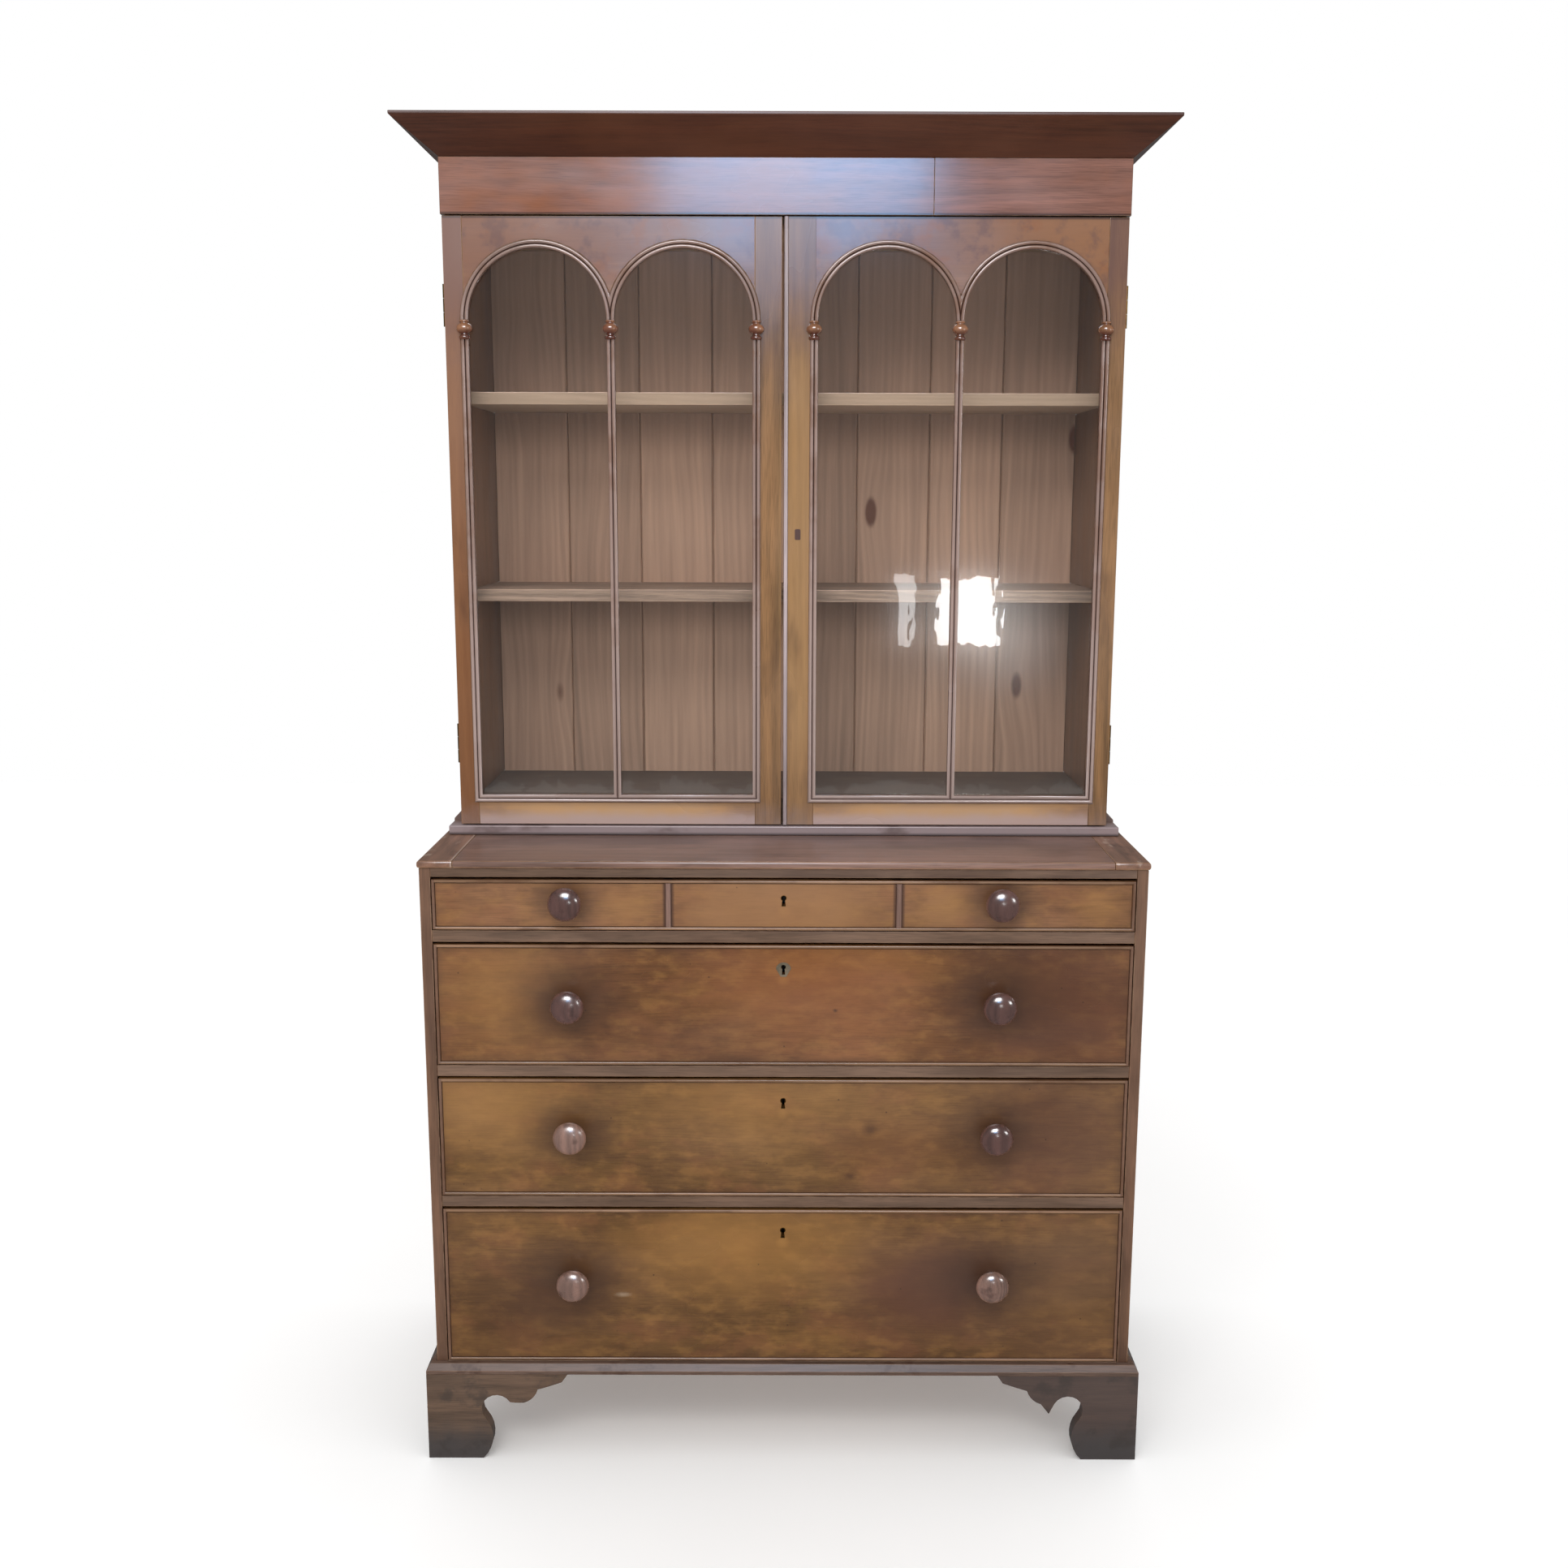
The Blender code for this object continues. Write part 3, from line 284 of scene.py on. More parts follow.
# %% [markdown]
# ## Masks for age, light and shade
# Old polish is dark where hands and dirt have been, and pale where edges are rubbed. Some marks
# are painted light and shade too: shadows in gaps, sheen and highlights. Such marks could be
# painted on an image. Here each one is a mask worked out from the place on the piece, so it
# stays sharp at any size and needs no file.

# %% Masks for age


def stain(x, z, reach, wide=1.0, core=0.0):
    """A ragged stain round one point of the front, at full strength up to its core."""

    def mask(f):
        ragged = f.minus(f.noise(f.place, 1.6 / reach, 4, 0.6), 0.5)
        spot = f.join(f.math("DIVIDE", f.minus(f.x, x), wide), 0.0, f.z)
        gap = f.vector("DISTANCE", spot, (0.0, 0.0, z))
        gap = f.plus(gap, f.times(ragged, reach * 0.5))
        return f.smooth(gap, reach, core)

    return mask


def edge_darkening(low, high, width):
    """Darkening that creeps in from the edges of a field of the front."""

    def mask(f):
        def inside(value, start, end):
            off = f.math("ABSOLUTE", f.minus(value, (start + end) / 2))
            return f.minus((end - start) / 2, off)

        near = f.math("MINIMUM", inside(f.x, low[0], high[0]), inside(f.z, low[1], high[1]))
        ragged = f.times(f.noise(f.place, 14.0, 3), width * 0.9)
        return f.smooth(f.plus(near, ragged), width * 1.4, width * 0.2)

    return mask


def band(axis, start, end, ragged=0.0, scale=40.0):
    """A mask that rises from start to end along one axis, broken up by noise."""

    def mask(f):
        value = {"x": f.x, "y": f.y, "z": f.z}[axis]
        if ragged:
            value = f.plus(value, f.times(f.noise(f.place, scale, 3), ragged))
        return f.smooth(value, start, end)

    return mask


def broken(scale, start, end, stretch=(1, 1, 1)):
    """Loose patches anywhere on the piece."""
    return lambda f: f.smooth(f.noise(f.stretch(f.place, stretch), scale, 4, 0.6), start, end)


def both(first, second):
    """Where two masks meet."""
    return lambda f: f.times(first(f), second(f))


def from_pair(f, x):
    """Distance from two upright lines, one on each side of the middle."""
    return f.math("ABSOLUTE", f.minus(f.math("ABSOLUTE", f.x), x))


def on_top(f):
    """Faces that look up, where dust lies."""
    return f.smooth(f.split(f.normal)[2], 0.8, 0.95)


def upward(f):
    """Faces that lean back enough for dust to lie on them."""
    return f.smooth(f.split(f.normal)[2], 0.1, 0.35)


def specks(scale, size):
    """A scatter of small dark dents and worm holes."""

    def mask(f):
        cells = f.add("ShaderNodeTexVoronoi", {"Vector": f.place, "Scale": scale})
        return f.smooth(cells.outputs["Distance"], size, size * 0.4)

    return mask


print("masks ready")

# %% [markdown]
# ## Old polished wood
# Wood is long in one direction, so its pattern is noise that is stretched along the grain:
# wide streaks, thin pores, wavy year rings and soft blotches of colour. Each board
# names the axis its grain runs along. A moulding that turns a corner reads its own normal
# to know which run it is on, so that the grain changes at the mitre as in real joinery.

# %% Old polished wood
GRAIN_AXES = {"x": (0, 1, 2), "y": (1, 0, 2), "z": (2, 0, 1)}


def grain_space(f, grain, seed):
    """Coordinates whose first axis runs along the grain."""
    axes = (f.x, f.y, f.z)
    if grain in GRAIN_AXES:
        along = f.join(*[axes[i] for i in GRAIN_AXES[grain]])
    else:
        on_side = f.math("ABSOLUTE", f.split(f.normal)[0])
        on_side = f.math("GREATER_THAN", on_side, 0.4)
        across = [f.times(on_side, axis) for axis in (f.y, f.x)]
        front = f.minus(1.0, on_side)
        first = f.plus(across[0], f.times(front, f.x))
        second = f.plus(across[1], f.times(front, f.y))
        along = f.join(first, second, f.z)
    return f.stretch(along, (1, 1, 1), (seed * 3.1, seed * 1.7, seed * 2.3))


def old_wood(
    name, grain, tones, seed=0.0, ring=0.06, ring_size=0.006, streak=0.45, blotch=0.5,
    pores=0.22, shine=0.34, coat=0.15, coat_rough=0.22, relief=0.12, polish=0.5, marks=(),
    matt=None,
):
    """A wood finish of three tones, dark to light, with marks as (mask, colour, strength).

    Matt is a mask too: dust has taken the gloss away there.
    """
    f = Finish(name)
    run = grain_space(f, grain, seed)
    bend = f.noise(f.stretch(run, (1.3, 5, 5)), 1.0, 2, 0.5, output=1)
    bend = f.vector("MULTIPLY", f.vector("SUBTRACT", bend, (0.5,) * 3), (0, 0.03, 0.03))
    run = f.vector("ADD", run, bend)
    streaks = f.noise(f.stretch(run, (2.2, 70, 70)), 1.0, 4, 0.62)
    fibre = f.noise(f.stretch(run, (26, 950, 950)), 1.0, 1.5, 0.5)
    clouds = f.noise(f.stretch(run, (2.6, 6, 6)), 1.0, 3, 0.55)
    layers = f.times(f.noise(f.stretch(run, (0.5, 9, 9)), 1.0, 1.5, 0.4), 0.9 / ring_size)
    rings = f.math("MULTIPLY_ADD", f.math("SINE", layers), 0.5)
    parts = [(streaks, streak), (clouds, blotch), (rings, ring)]
    tone = 0.0
    for value, share in parts:
        part = f.times(f.minus(value, 0.5), share)
        tone = f.plus(tone, part)
    tone = f.plus(tone, 0.5)
    colour = f.ramp(tone, [(0.3, tones[0]), (0.5, tones[1]), (0.7, tones[2])])
    dark_pores = f.smooth(fibre, 0.36, 0.52, 1.0 - pores, 1.0)
    colour = f.mix(1.0, colour, f.join(dark_pores, dark_pores, dark_pores), "MULTIPLY")
    for mask, mark, strength in marks:
        share = f.times(mask(f), strength)
        colour = f.mix(share, colour, mark)
    height = f.plus(f.times(fibre, 0.5), f.times(streaks, 0.8))
    f.bump(height, 0.0003, relief)
    rough = f.smooth(clouds, 0.25, 0.75, shine - 0.06, shine + 0.14)
    if matt:
        rough = f.math("MAXIMUM", rough, f.times(matt(f), 0.9))
    f.set(
        Base_Color=colour,
        Roughness=rough,
        Specular_IOR_Level=polish,
        Coat_Weight=coat,
        Coat_Roughness=coat_rough,
    )
    return f.material


print("wood recipe ready")

# %% [markdown]
# ## The floor
# A floor that is one flat white would look like a hole, so a faint cloud of grey is mixed in.
# It is kept out of the reflections: a white floor in the polish would bleach the dark wood.

# %% Floor
FLOOR_HALF, FLOOR_Z = 6.0, -0.0004
floor_finish = Finish("pale_floor")
floor_finish.set(
    Base_Color=floor_finish.ramp(
        floor_finish.noise(floor_finish.place, 1.5, 3),
        [(0.3, (0.95, 0.95, 0.95, 1)), (0.7, (0.98, 0.98, 0.98, 1))],
    ),
    Roughness=0.8,
    Emission_Color=(1, 1, 1, 1),
    Emission_Strength=0.1,
)
bm = bmesh.new()
bmesh.ops.create_grid(bm, x_segments=1, y_segments=1, size=FLOOR_HALF)
bmesh.ops.translate(bm, verts=bm.verts, vec=(0, 0, FLOOR_Z))
mesh = bpy.data.meshes.new("floor")
bm.to_mesh(mesh)
bm.free()
mesh.materials.append(floor_finish.material)
floor = bpy.data.objects.new("floor", mesh)
scene.collection.objects.link(floor)
floor.visible_glossy = False
print("floor", FLOOR_HALF * 2, "m wide")

# %% [markdown]
# ## Where things are
# The solids say where everything is. A few sizes of the door lattice can't be read from a
# box, so they are named here once, in metres, as the solids have them.

# %% Sizes read from the solids
CHEST_FACE_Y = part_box("chest_left_side")[0].y
DOOR_FACE_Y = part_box("left_door_frame")[0].y
CASE_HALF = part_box("bookcase_right_side")[1].x
PUTTY_GAP = 0.0003
BAR_BACK_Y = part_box("left_door_inner_pane")[0].y - PUTTY_GAP
DOOR_LOW_Z, DOOR_HIGH_Z = (corner.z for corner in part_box("right_door_frame"))
BAR_WIDTH = 0.0125
INNER_BAR_X = 0.045
OUTER_STILE = 0.030
ABOVE_ARCH, BELOW_SILL = 0.0341, 0.0365
OUTER_BAR_X = CASE_HALF - OUTER_STILE
MIDDLE_BAR_X = (INNER_BAR_X + OUTER_BAR_X) / 2
ARCH_RADIUS = (OUTER_BAR_X - INNER_BAR_X) / 4
SPRING_Z = DOOR_HIGH_Z - ABOVE_ARCH - BAR_WIDTH / 2 - ARCH_RADIUS
SILL_Z = DOOR_LOW_Z + BELOW_SILL + BAR_WIDTH / 2
DRAWERS = ("top", "upper", "lower", "bottom")
HANDS = {"left": -1, "right": 1}
print("door face y", round(DOOR_FACE_Y, 4), "spring z", round(SPRING_Z, 4))

# %% [markdown]
# ## Finished pieces
# A piece is shaped as a bmesh, a mesh under work that the operators can change at will. When
# it is done, doubles are merged, normals are turned outwards, and it becomes an object that
# rides on one of the bodies. The name of the solid that it stands for is given with it.

# %% Finished pieces
SHARP = math.radians(30)
FLAT = math.radians(0.5)
MERGE = 2e-6
ALONG_AXIS = 0.9995


def add_piece(name, bm, materials, body, replaced=(), crease=35, squared=False):
    """Make a mesh under work into an object that rides on a body.

    On a squared board the faces that look along an axis stay flat, and only the rest is smooth.
    """
    bmesh.ops.remove_doubles(bm, verts=bm.verts, dist=MERGE)
    bmesh.ops.recalc_face_normals(bm, faces=bm.faces)
    mesh = bpy.data.meshes.new(name)
    bm.to_mesh(mesh)
    bm.free()
    for material in materials:
        mesh.materials.append(material)
    mesh.shade_smooth()
    mesh.set_sharp_from_angle(angle=math.radians(crease))
    if squared:
        for face in mesh.polygons:
            face.use_smooth = max(abs(part) for part in face.normal) < ALONG_AXIS
    piece = bpy.data.objects.new(name, mesh)
    scene.collection.objects.link(piece)
    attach(piece, body)
    if replaced:
        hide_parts(*replaced)
    print(name, len(mesh.polygons), "faces")


print("edges sharper than", round(math.degrees(SHARP)), "degrees are rounded")

# %% [markdown]
# ## Cutting and joining
# Boards are copies of a solid, cut by planes. Every cut is closed again, and every sharp edge
# is rounded as years of handling do. The strip that the bevel leaves gets its own material
# slot, for the rubbed edge.

# %% Cutting and joining


def only(kind, geom):
    """The vertices or the edges in the mixed list that an operator hands back."""
    return [item for item in geom if isinstance(item, kind)]


def paint(faces, slot):
    """Put faces on one material slot."""
    for face in faces:
        face.material_index = slot


def cad_copy(node):
    """A merged copy of a solid, with its flat faces whole again."""
    bm = bmesh.new()
    bm.from_mesh(frame["nodes"][node].data)
    bmesh.ops.remove_doubles(bm, verts=bm.verts, dist=MERGE)
    bmesh.ops.dissolve_limit(bm, angle_limit=FLAT, verts=bm.verts[:], edges=bm.edges[:])
    return bm


def soften(bm, width, segments=2, edge_slot=None, edges=None):
    """Round the edges given, or else every sharp one, as years of handling do."""
    bm.normal_update()
    sharp = [e for e in bm.edges if e.is_manifold and e.calc_face_angle() > SHARP]
    made = bmesh.ops.bevel(
        bm, geom=edges or sharp, offset=width, segments=segments, profile=0.5,
        affect="EDGES", clamp_overlap=True, material=-1,
    )
    if edge_slot is not None:
        paint(made["faces"], edge_slot)


def pour(source, target, slot=None):
    """Add one mesh under work to another, on one material slot."""
    if slot is not None:
        paint(source.faces, slot)
    carrier = bpy.data.meshes.new("carrier")
    source.to_mesh(carrier)
    source.free()
    target.from_mesh(carrier)
    bpy.data.meshes.remove(carrier)


def keep_side(bm, place, normal):
    """Cut with a plane, throw away the side that the normal points to, and close the cut."""
    cut = bmesh.ops.bisect_plane(
        bm, geom=bm.verts[:] + bm.edges[:] + bm.faces[:],
        plane_co=place, plane_no=normal, clear_outer=True,
    )
    bmesh.ops.holes_fill(bm, edges=only(bmesh.types.BMEdge, cut["geom_cut"]), sides=0)


def keep_between(bm, axis, start, end, gap):
    """Keep what lies between two planes across one axis, less a gap at each."""
    normal = Vector([float(i == axis) for i in range(3)])
    keep_side(bm, normal * (end - gap), normal)
    keep_side(bm, normal * (start + gap), -normal)


print("cutting tools ready")

# %% [markdown]
# ## New shapes
# Most new pieces start from a few points: a box, an outline that is pulled out straight, or a
# profile that is spun round an axis as on a lathe. An arc gives the points of a round edge.

# %% New shapes


def block(low, high):
    """A box between two corners."""
    low, high = Vector(low), Vector(high)
    bm = bmesh.new()
    place = Matrix.Translation((low + high) / 2) @ Matrix.Diagonal((*(high - low), 1.0))
    bmesh.ops.create_cube(bm, size=1.0, matrix=place)
    return bm


def outline(bm, points):
    """A closed chain of edges through points."""
    verts = [bm.verts.new(point) for point in points]
    return [bm.edges.new((a, b)) for a, b in zip(verts, verts[1:] + verts[:1])]


def prism(points, shift):
    """A flat outline pulled out along a straight line."""
    bm = bmesh.new()
    face = bm.faces.new([bm.verts.new(point) for point in points])
    grown = bmesh.ops.extrude_face_region(bm, geom=[face])
    bmesh.ops.translate(bm, verts=only(bmesh.types.BMVert, grown["geom"]), vec=shift)
    return bm


def turned(profile, place, axis, steps, angle=2 * math.pi, start=None):
    """Spin a profile of (radius, height) points round an axis, as on a lathe."""
    bm = bmesh.new()
    place, axis = Vector(place), Vector(axis)
    side = Vector(start) if start else axis.orthogonal().normalized()
    chain = [bm.verts.new(place + side * radius + axis * up) for radius, up in profile]
    edges = [bm.edges.new(pair) for pair in zip(chain, chain[1:])]
    whole = abs(angle - 2 * math.pi) < 1e-6
    bmesh.ops.spin(
        bm, geom=chain + edges, cent=place, axis=axis, angle=angle, steps=steps, use_merge=whole
    )
    bmesh.ops.remove_doubles(bm, verts=bm.verts, dist=MERGE)
    return bm


def arc(centre, radii, first, last, steps):
    """Points on a stretch of an ellipse; angles in degrees."""
    points = []
    for i in range(steps + 1):
        angle = math.radians(first + (last - first) * i / steps)
        points.append(
            (centre[0] + radii[0] * math.cos(angle), centre[1] + radii[1] * math.sin(angle))
        )
    return points


print("shape tools ready")

# %% [markdown]
# ## Woods of the plain boards
# The outside is a red-brown wood and a golden one, polished and dark with age. The inside is
# bare pine, which has no coat and hardly any gloss. Each board gets the one wood recipe with
# its own tones and marks; the marks make a board look used and not new, and some of them are
# painted light and shade.

# %% Wood tones
# The dark of old polish; it is also the colour of the painted shadow under the shelves.
DARK_PATINA_AND_SHADOW = tint(72, 46, 33)
RUBBED = tint(164, 132, 104)
LILAC_BLOOM = tint(150, 130, 126)
RED_BROWN = shades(112, 80, 59)
GOLDEN = shades(140, 102, 66)
DARK_RED = shades(80, 42, 26)
PINE = shades(195, 160, 138)
BARE = {"shine": 0.6, "coat": 0, "polish": 0.1}


def rubbed_edge(name, grain, tones, seed=0.0):
    """The same wood where an edge is worn."""
    return old_wood(
        name, grain, tones, seed, marks=[(broken(34, 0.4, 0.62), RUBBED, 0.5)], shine=0.3
    )


print("tones ready")

# %% Polished woods
side_wood = old_wood(
    "side_wood", "z", RED_BROWN, 1.0,
    marks=[
        (band("z", 0.30, 0.12, 0.1), DARK_PATINA_AND_SHADOW, 0.6),
        (broken(3, 0.5, 0.7), DARK_PATINA_AND_SHADOW, 0.4),
    ],
)
rail_wood = old_wood(
    "rail_wood", "x", shades(113, 87, 69), 2.0,
    marks=[(broken(7, 0.52, 0.68, (0.4, 1, 1)), DARK_PATINA_AND_SHADOW, 0.5)],
)
case_wood = old_wood("case_wood", "z", RED_BROWN, 3.0)
cornice_wood = old_wood(
    "cornice_wood", "run", DARK_RED, 4.0, coat=0.0, matt=upward,
    marks=[
        (broken(4, 0.45, 0.65, (0.5, 1, 1)), tint(96, 56, 34), 0.5),
        (on_top, tint(104, 78, 62), 0.6),
        (both(on_top, broken(7, 0.45, 0.7)), tint(140, 122, 106), 0.4),
    ],
)
moulding_wood = old_wood(
    "moulding_wood", "run", shades(98, 76, 64), 5.0,
    marks=[(broken(16, 0.56, 0.66), DARK_PATINA_AND_SHADOW, 0.7)],
)
PLINTH_LOW_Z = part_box("bookcase_base_moulding")[0].z
plinth_wood = old_wood(
    "plinth_wood", "run", RED_BROWN, 5.5,
    marks=[
        # Painted reflection: the front of the base moulding is lilac. Painted shadow: a dark line
        # along its foot.
        (band("y", 0.02, -0.03), tint(156, 138, 140), 0.95),
        (band("z", PLINTH_LOW_Z + 0.006, PLINTH_LOW_Z + 0.001), tint(44, 32, 30), 0.8),
        (broken(13, 0.52, 0.66, (0.5, 1, 1)), tint(92, 70, 66), 0.7),
    ],
)
foot_wood = old_wood(
    "foot_wood", "run", shades(104, 80, 62), 6.0, shine=0.45,
    marks=[
        # Painted shade: the feet on the right are darker.
        (band("x", -0.2, 0.2), tint(70, 56, 54), 0.75),
        (band("z", 0.095, 0.03, 0.03), tint(66, 62, 62), 0.9),
        (broken(26, 0.5, 0.66), tint(56, 48, 44), 0.5),
    ],
)
side_edge = rubbed_edge("side_edge", "z", RED_BROWN, 1.0)
run_edge = rubbed_edge("run_edge", "run", RED_BROWN, 5.0)
print("polished:", [m.name for m in bpy.data.materials if "wood" in m.name])

# %% Bare pine
shelf_pine = old_wood(
    "shelf_pine", "x", shades(152, 129, 113), 7.0, ring=0.12, shine=0.55, coat=0, polish=0.1,
    marks=[(band("z", 1.45, 1.6), tint(182, 156, 132), 0.6)],
)
FLOOR_BOARD_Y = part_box("lower_shelf")[0].y
# The floor of the case is darkened behind its front edge as painted shade; the paler patches are
# dust.
dust_and_shade_pine = old_wood(
    "dust_and_shade_pine", "x", shades(140, 116, 100), 7.5, **BARE,
    marks=[
        (band("y", FLOOR_BOARD_Y - 0.02, FLOOR_BOARD_Y), tint(86, 77, 71), 0.75),
        (broken(18, 0.5, 0.75), tint(128, 112, 98), 0.3),
    ],
)
box_pine = old_wood(
    "box_pine", "y", shades(186, 154, 126), 8.0, ring=0.05, streak=0.3, **BARE,
    marks=[(broken(5, 0.45, 0.7, (1, 0.5, 1)), tint(140, 108, 84), 0.45)],
)
pine_edge = rubbed_edge("pine_edge", "x", PINE, 7.0)
print("pine:", [m.name for m in bpy.data.materials if "pine" in m.name])

# %% [markdown]
# ## Back boards of pine
# Behind the shelves stand eight pine boards. One wood pattern across all of them would run on
# over the joints, so each board takes a slice of its own by its number. The cells of a
# Voronoi texture give the knots, and the rings are pulled aside where they pass one.

# %% Back boards of pine
BACK_BOARDS = 8
REAR_STAIN = tint(128, 96, 70)


def back_finish():
    """Upright pine boards: each one takes its own slice of the pattern, and has knots."""
    low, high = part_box("bookcase_back")
    f = Finish("back_pine")
    board = f.times(f.minus(f.x, low.x), BACK_BOARDS / (high.x - low.x))
    number = f.math("FLOOR", board)
    own = f.add("ShaderNodeTexWhiteNoise", {"W": number}, noise_dimensions="1D")
    run = f.join(f.z, f.x, f.times(number, 0.37))
    knots = f.add(
        "ShaderNodeTexVoronoi", {"Vector": f.stretch(run, (2.6, 6.5, 6.5)), "Scale": 1.0}
    )
    near_knot = f.smooth(knots.outputs["Distance"], 0.34, 0.0)
    pull = f.times(near_knot, 0.012)
    bend = f.times(f.noise(f.stretch(run, (1.4, 4, 4)), 1.0, 2), 0.05)
    along, across, depth = f.split(run)
    across = f.plus(across, f.plus(bend, pull))
    run = f.join(along, across, depth)
    rings = f.add(
        "ShaderNodeTexWave",
        {"Vector": f.stretch(run, (0.12, 1, 1)), "Scale": 24.0, "Distortion": 2.0, "Detail": 2.0},
        bands_direction="Y",
    ).outputs[1]
    streaks = f.noise(f.stretch(run, (3, 90, 90)), 1.0, 3, 0.6)
    tone = f.plus(f.times(rings, 0.04), f.times(streaks, 0.34))
    shift = f.times(f.minus(own.outputs["Value"], 0.5), 0.14)
    tone = f.plus(f.plus(tone, shift), 0.30)
    colour = f.ramp(tone, [(0.25, PINE[0]), (0.5, PINE[1]), (0.75, PINE[2])])
    rear = f.smooth(f.split(f.normal)[1], 0.5, 0.9)
    colour = f.mix(f.times(rear, 0.7), colour, REAR_STAIN)
    grime = broken(2.5, 0.42, 0.68)(f)
    colour = f.mix(f.times(f.times(rear, grime), 0.5), colour, DARK_PATINA_AND_SHADOW)
    front = f.minus(1.0, rear)
    # Painted shadow: the front of the back is darkened in a band under each shelf.
    for shelf in ("lower_shelf", "upper_shelf"):
        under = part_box(shelf)[0].z
        below = f.smooth(f.z, under + 0.002, under)
        shade = f.times(f.smooth(f.z, under - 0.09, under), below)
        shade = f.times(f.times(shade, front), 0.55)
        colour = f.mix(shade, colour, DARK_PATINA_AND_SHADOW)
    # Painted shade: the back is darker towards the case top.
    painted_top_shade = f.smooth(f.z, 1.68, 1.86, 0.0, 0.36)
    colour = f.mix(painted_top_shade, colour, tint(66, 48, 42))
    heart = f.smooth(knots.outputs["Distance"], 0.085, 0.05)
    colour = f.mix(f.times(heart, 0.85), colour, tint(96, 50, 34))
    f.bump(streaks, 0.0003, 0.3)
    f.set(
        Base_Color=colour,
        Roughness=f.smooth(streaks, 0.3, 0.7, 0.55, 0.7),
        Specular_IOR_Level=0.1,
    )
    return f.material


back_pine = back_finish()
BACK_FRONT_Y, BACK_REAR_Y = (corner.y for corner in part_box("bookcase_back"))
back_edge = old_wood(
    "back_edge", "z", shades(176, 144, 122), 8.5, **BARE,
    marks=[(band("y", BACK_FRONT_Y, BACK_REAR_Y), tint(84, 60, 44), 0.9)],
)
print("made", back_pine.name, back_edge.name)

# %% [markdown]
# ## Metal and glass
# Hinges and keyhole threads are brass, locks are iron, both dull with age: clouds of two tones
# and fine pits do that. Old panes were blown by hand, so they are not quite flat. A bump that
# is slow and low bends their reflections, and leaves what is seen through them clear.

# %% Metal and glass


def worn_metal(name, dark, light, rough, metallic=1.0):
    """Old brass or iron: two tones in clouds, and fine pits. Dirt makes it less metallic."""
    f = Finish(name)
    clouds = f.noise(f.place, 60.0, 4, 0.6)
    pits = f.noise(f.place, 700.0, 2)
    f.bump(pits, 0.0002, 0.4)
    f.set(
        Base_Color=f.ramp(clouds, [(0.35, dark), (0.65, light)]),
        Roughness=f.smooth(clouds, 0.3, 0.7, rough + 0.15, rough - 0.1),
        Metallic=metallic,
    )
    return f.material


brass = worn_metal("old_brass", tint(92, 66, 36), tint(168, 130, 74), 0.38)
iron = worn_metal("old_iron", tint(58, 54, 52), tint(120, 116, 112), 0.5)
plate_iron = worn_metal("plate_iron", tint(92, 82, 62), tint(136, 122, 102), 0.5, 0.3)


def old_glass():
    """Hand-made window glass: clear, with a slow ripple that bends its reflections."""
    f = Finish("rippled_glass")
    ripple = f.noise(f.stretch(f.place, (14, 14, 6)), 1.0, 3)
    f.bump(ripple, 0.002, 0.25)
    f.set(Base_Color=(0.97, 0.985, 0.975, 1), Roughness=0.0, IOR=1.46, Transmission_Weight=1.0)
    f.set(Coat_Weight=0.5, Coat_Roughness=0.1)
    return f.material


glass = old_glass()
print("made", brass.name, iron.name, glass.name)

# %% [markdown]
# ## Plain boards
# Sides, rails, shelves and drawer boxes have the right shape as solids. Their loose triangles
# are welded and their edges rounded by modifiers, so the solid itself is never touched. The
# rounded strip takes the second material slot: the same wood, rubbed paler.

# %% Dress the plain boards
WORN, FINE_WORN, LOCK_WORN, LEAF_WORN = 0.0012, 0.0010, 0.0006, 0.0002


def dress(nodes, wood, edge, width=0.0008):
    """Give solids their finish, and round their edges by modifiers."""
    for name in nodes:
        node = frame["nodes"][name]
        node.data.materials.clear()
        node.data.materials.append(wood)
        node.data.materials.append(edge)
        weld = node.modifiers.new("weld", "WELD")
        weld.merge_threshold = MERGE
        worn = node.modifiers.new("worn_edges", "BEVEL")
        worn.width, worn.segments, worn.profile = width, 2, 0.5
        worn.limit_method, worn.angle_limit = "ANGLE", SHARP
        worn.material = 1
    print("dressed", len(nodes), "with", wood.name)


HINGES = [f"{hand}_{level}_hinge" for hand in HANDS for level in ("upper", "lower")]
dress(["chest_left_side", "chest_right_side"], side_wood, side_edge, WORN)
dress(["lower_divider", "middle_divider", "upper_divider", "chest_top_rail"], rail_wood, run_edge)
dress(["bookcase_left_side", "bookcase_right_side"], case_wood, side_edge)
dress(["cornice"], cornice_wood, cornice_wood, FINE_WORN)
dress(["chest_base_moulding"], moulding_wood, run_edge, WORN)
dress(["bookcase_base_moulding"], plinth_wood, plinth_wood, WORN)
dress([n for n in frame["nodes"] if n.endswith("_foot")], foot_wood, run_edge, WORN)
dress(["lower_shelf", "upper_shelf", "bookcase_top", "chest_bottom"], shelf_pine, pine_edge)
dress(["bookcase_floor"], dust_and_shade_pine, dust_and_shade_pine)
dress([f"{word}_drawer_box" for word in DRAWERS], box_pine, pine_edge, FINE_WORN)
dress([f"{word}_drawer_lock" for word in DRAWERS], iron, iron, LOCK_WORN)
dress([f"{h}_{leaf}_leaf" for h in HINGES for leaf in ("case", "door")], brass, brass, LEAF_WORN)
panes = [node for name, node in frame["nodes"].items() if name.endswith("_pane")]
for node in panes:
    node.data.materials.clear()
    node.data.materials.append(glass)
    node.visible_shadow = node.visible_diffuse = False
print("glazed", len(panes), "panes")

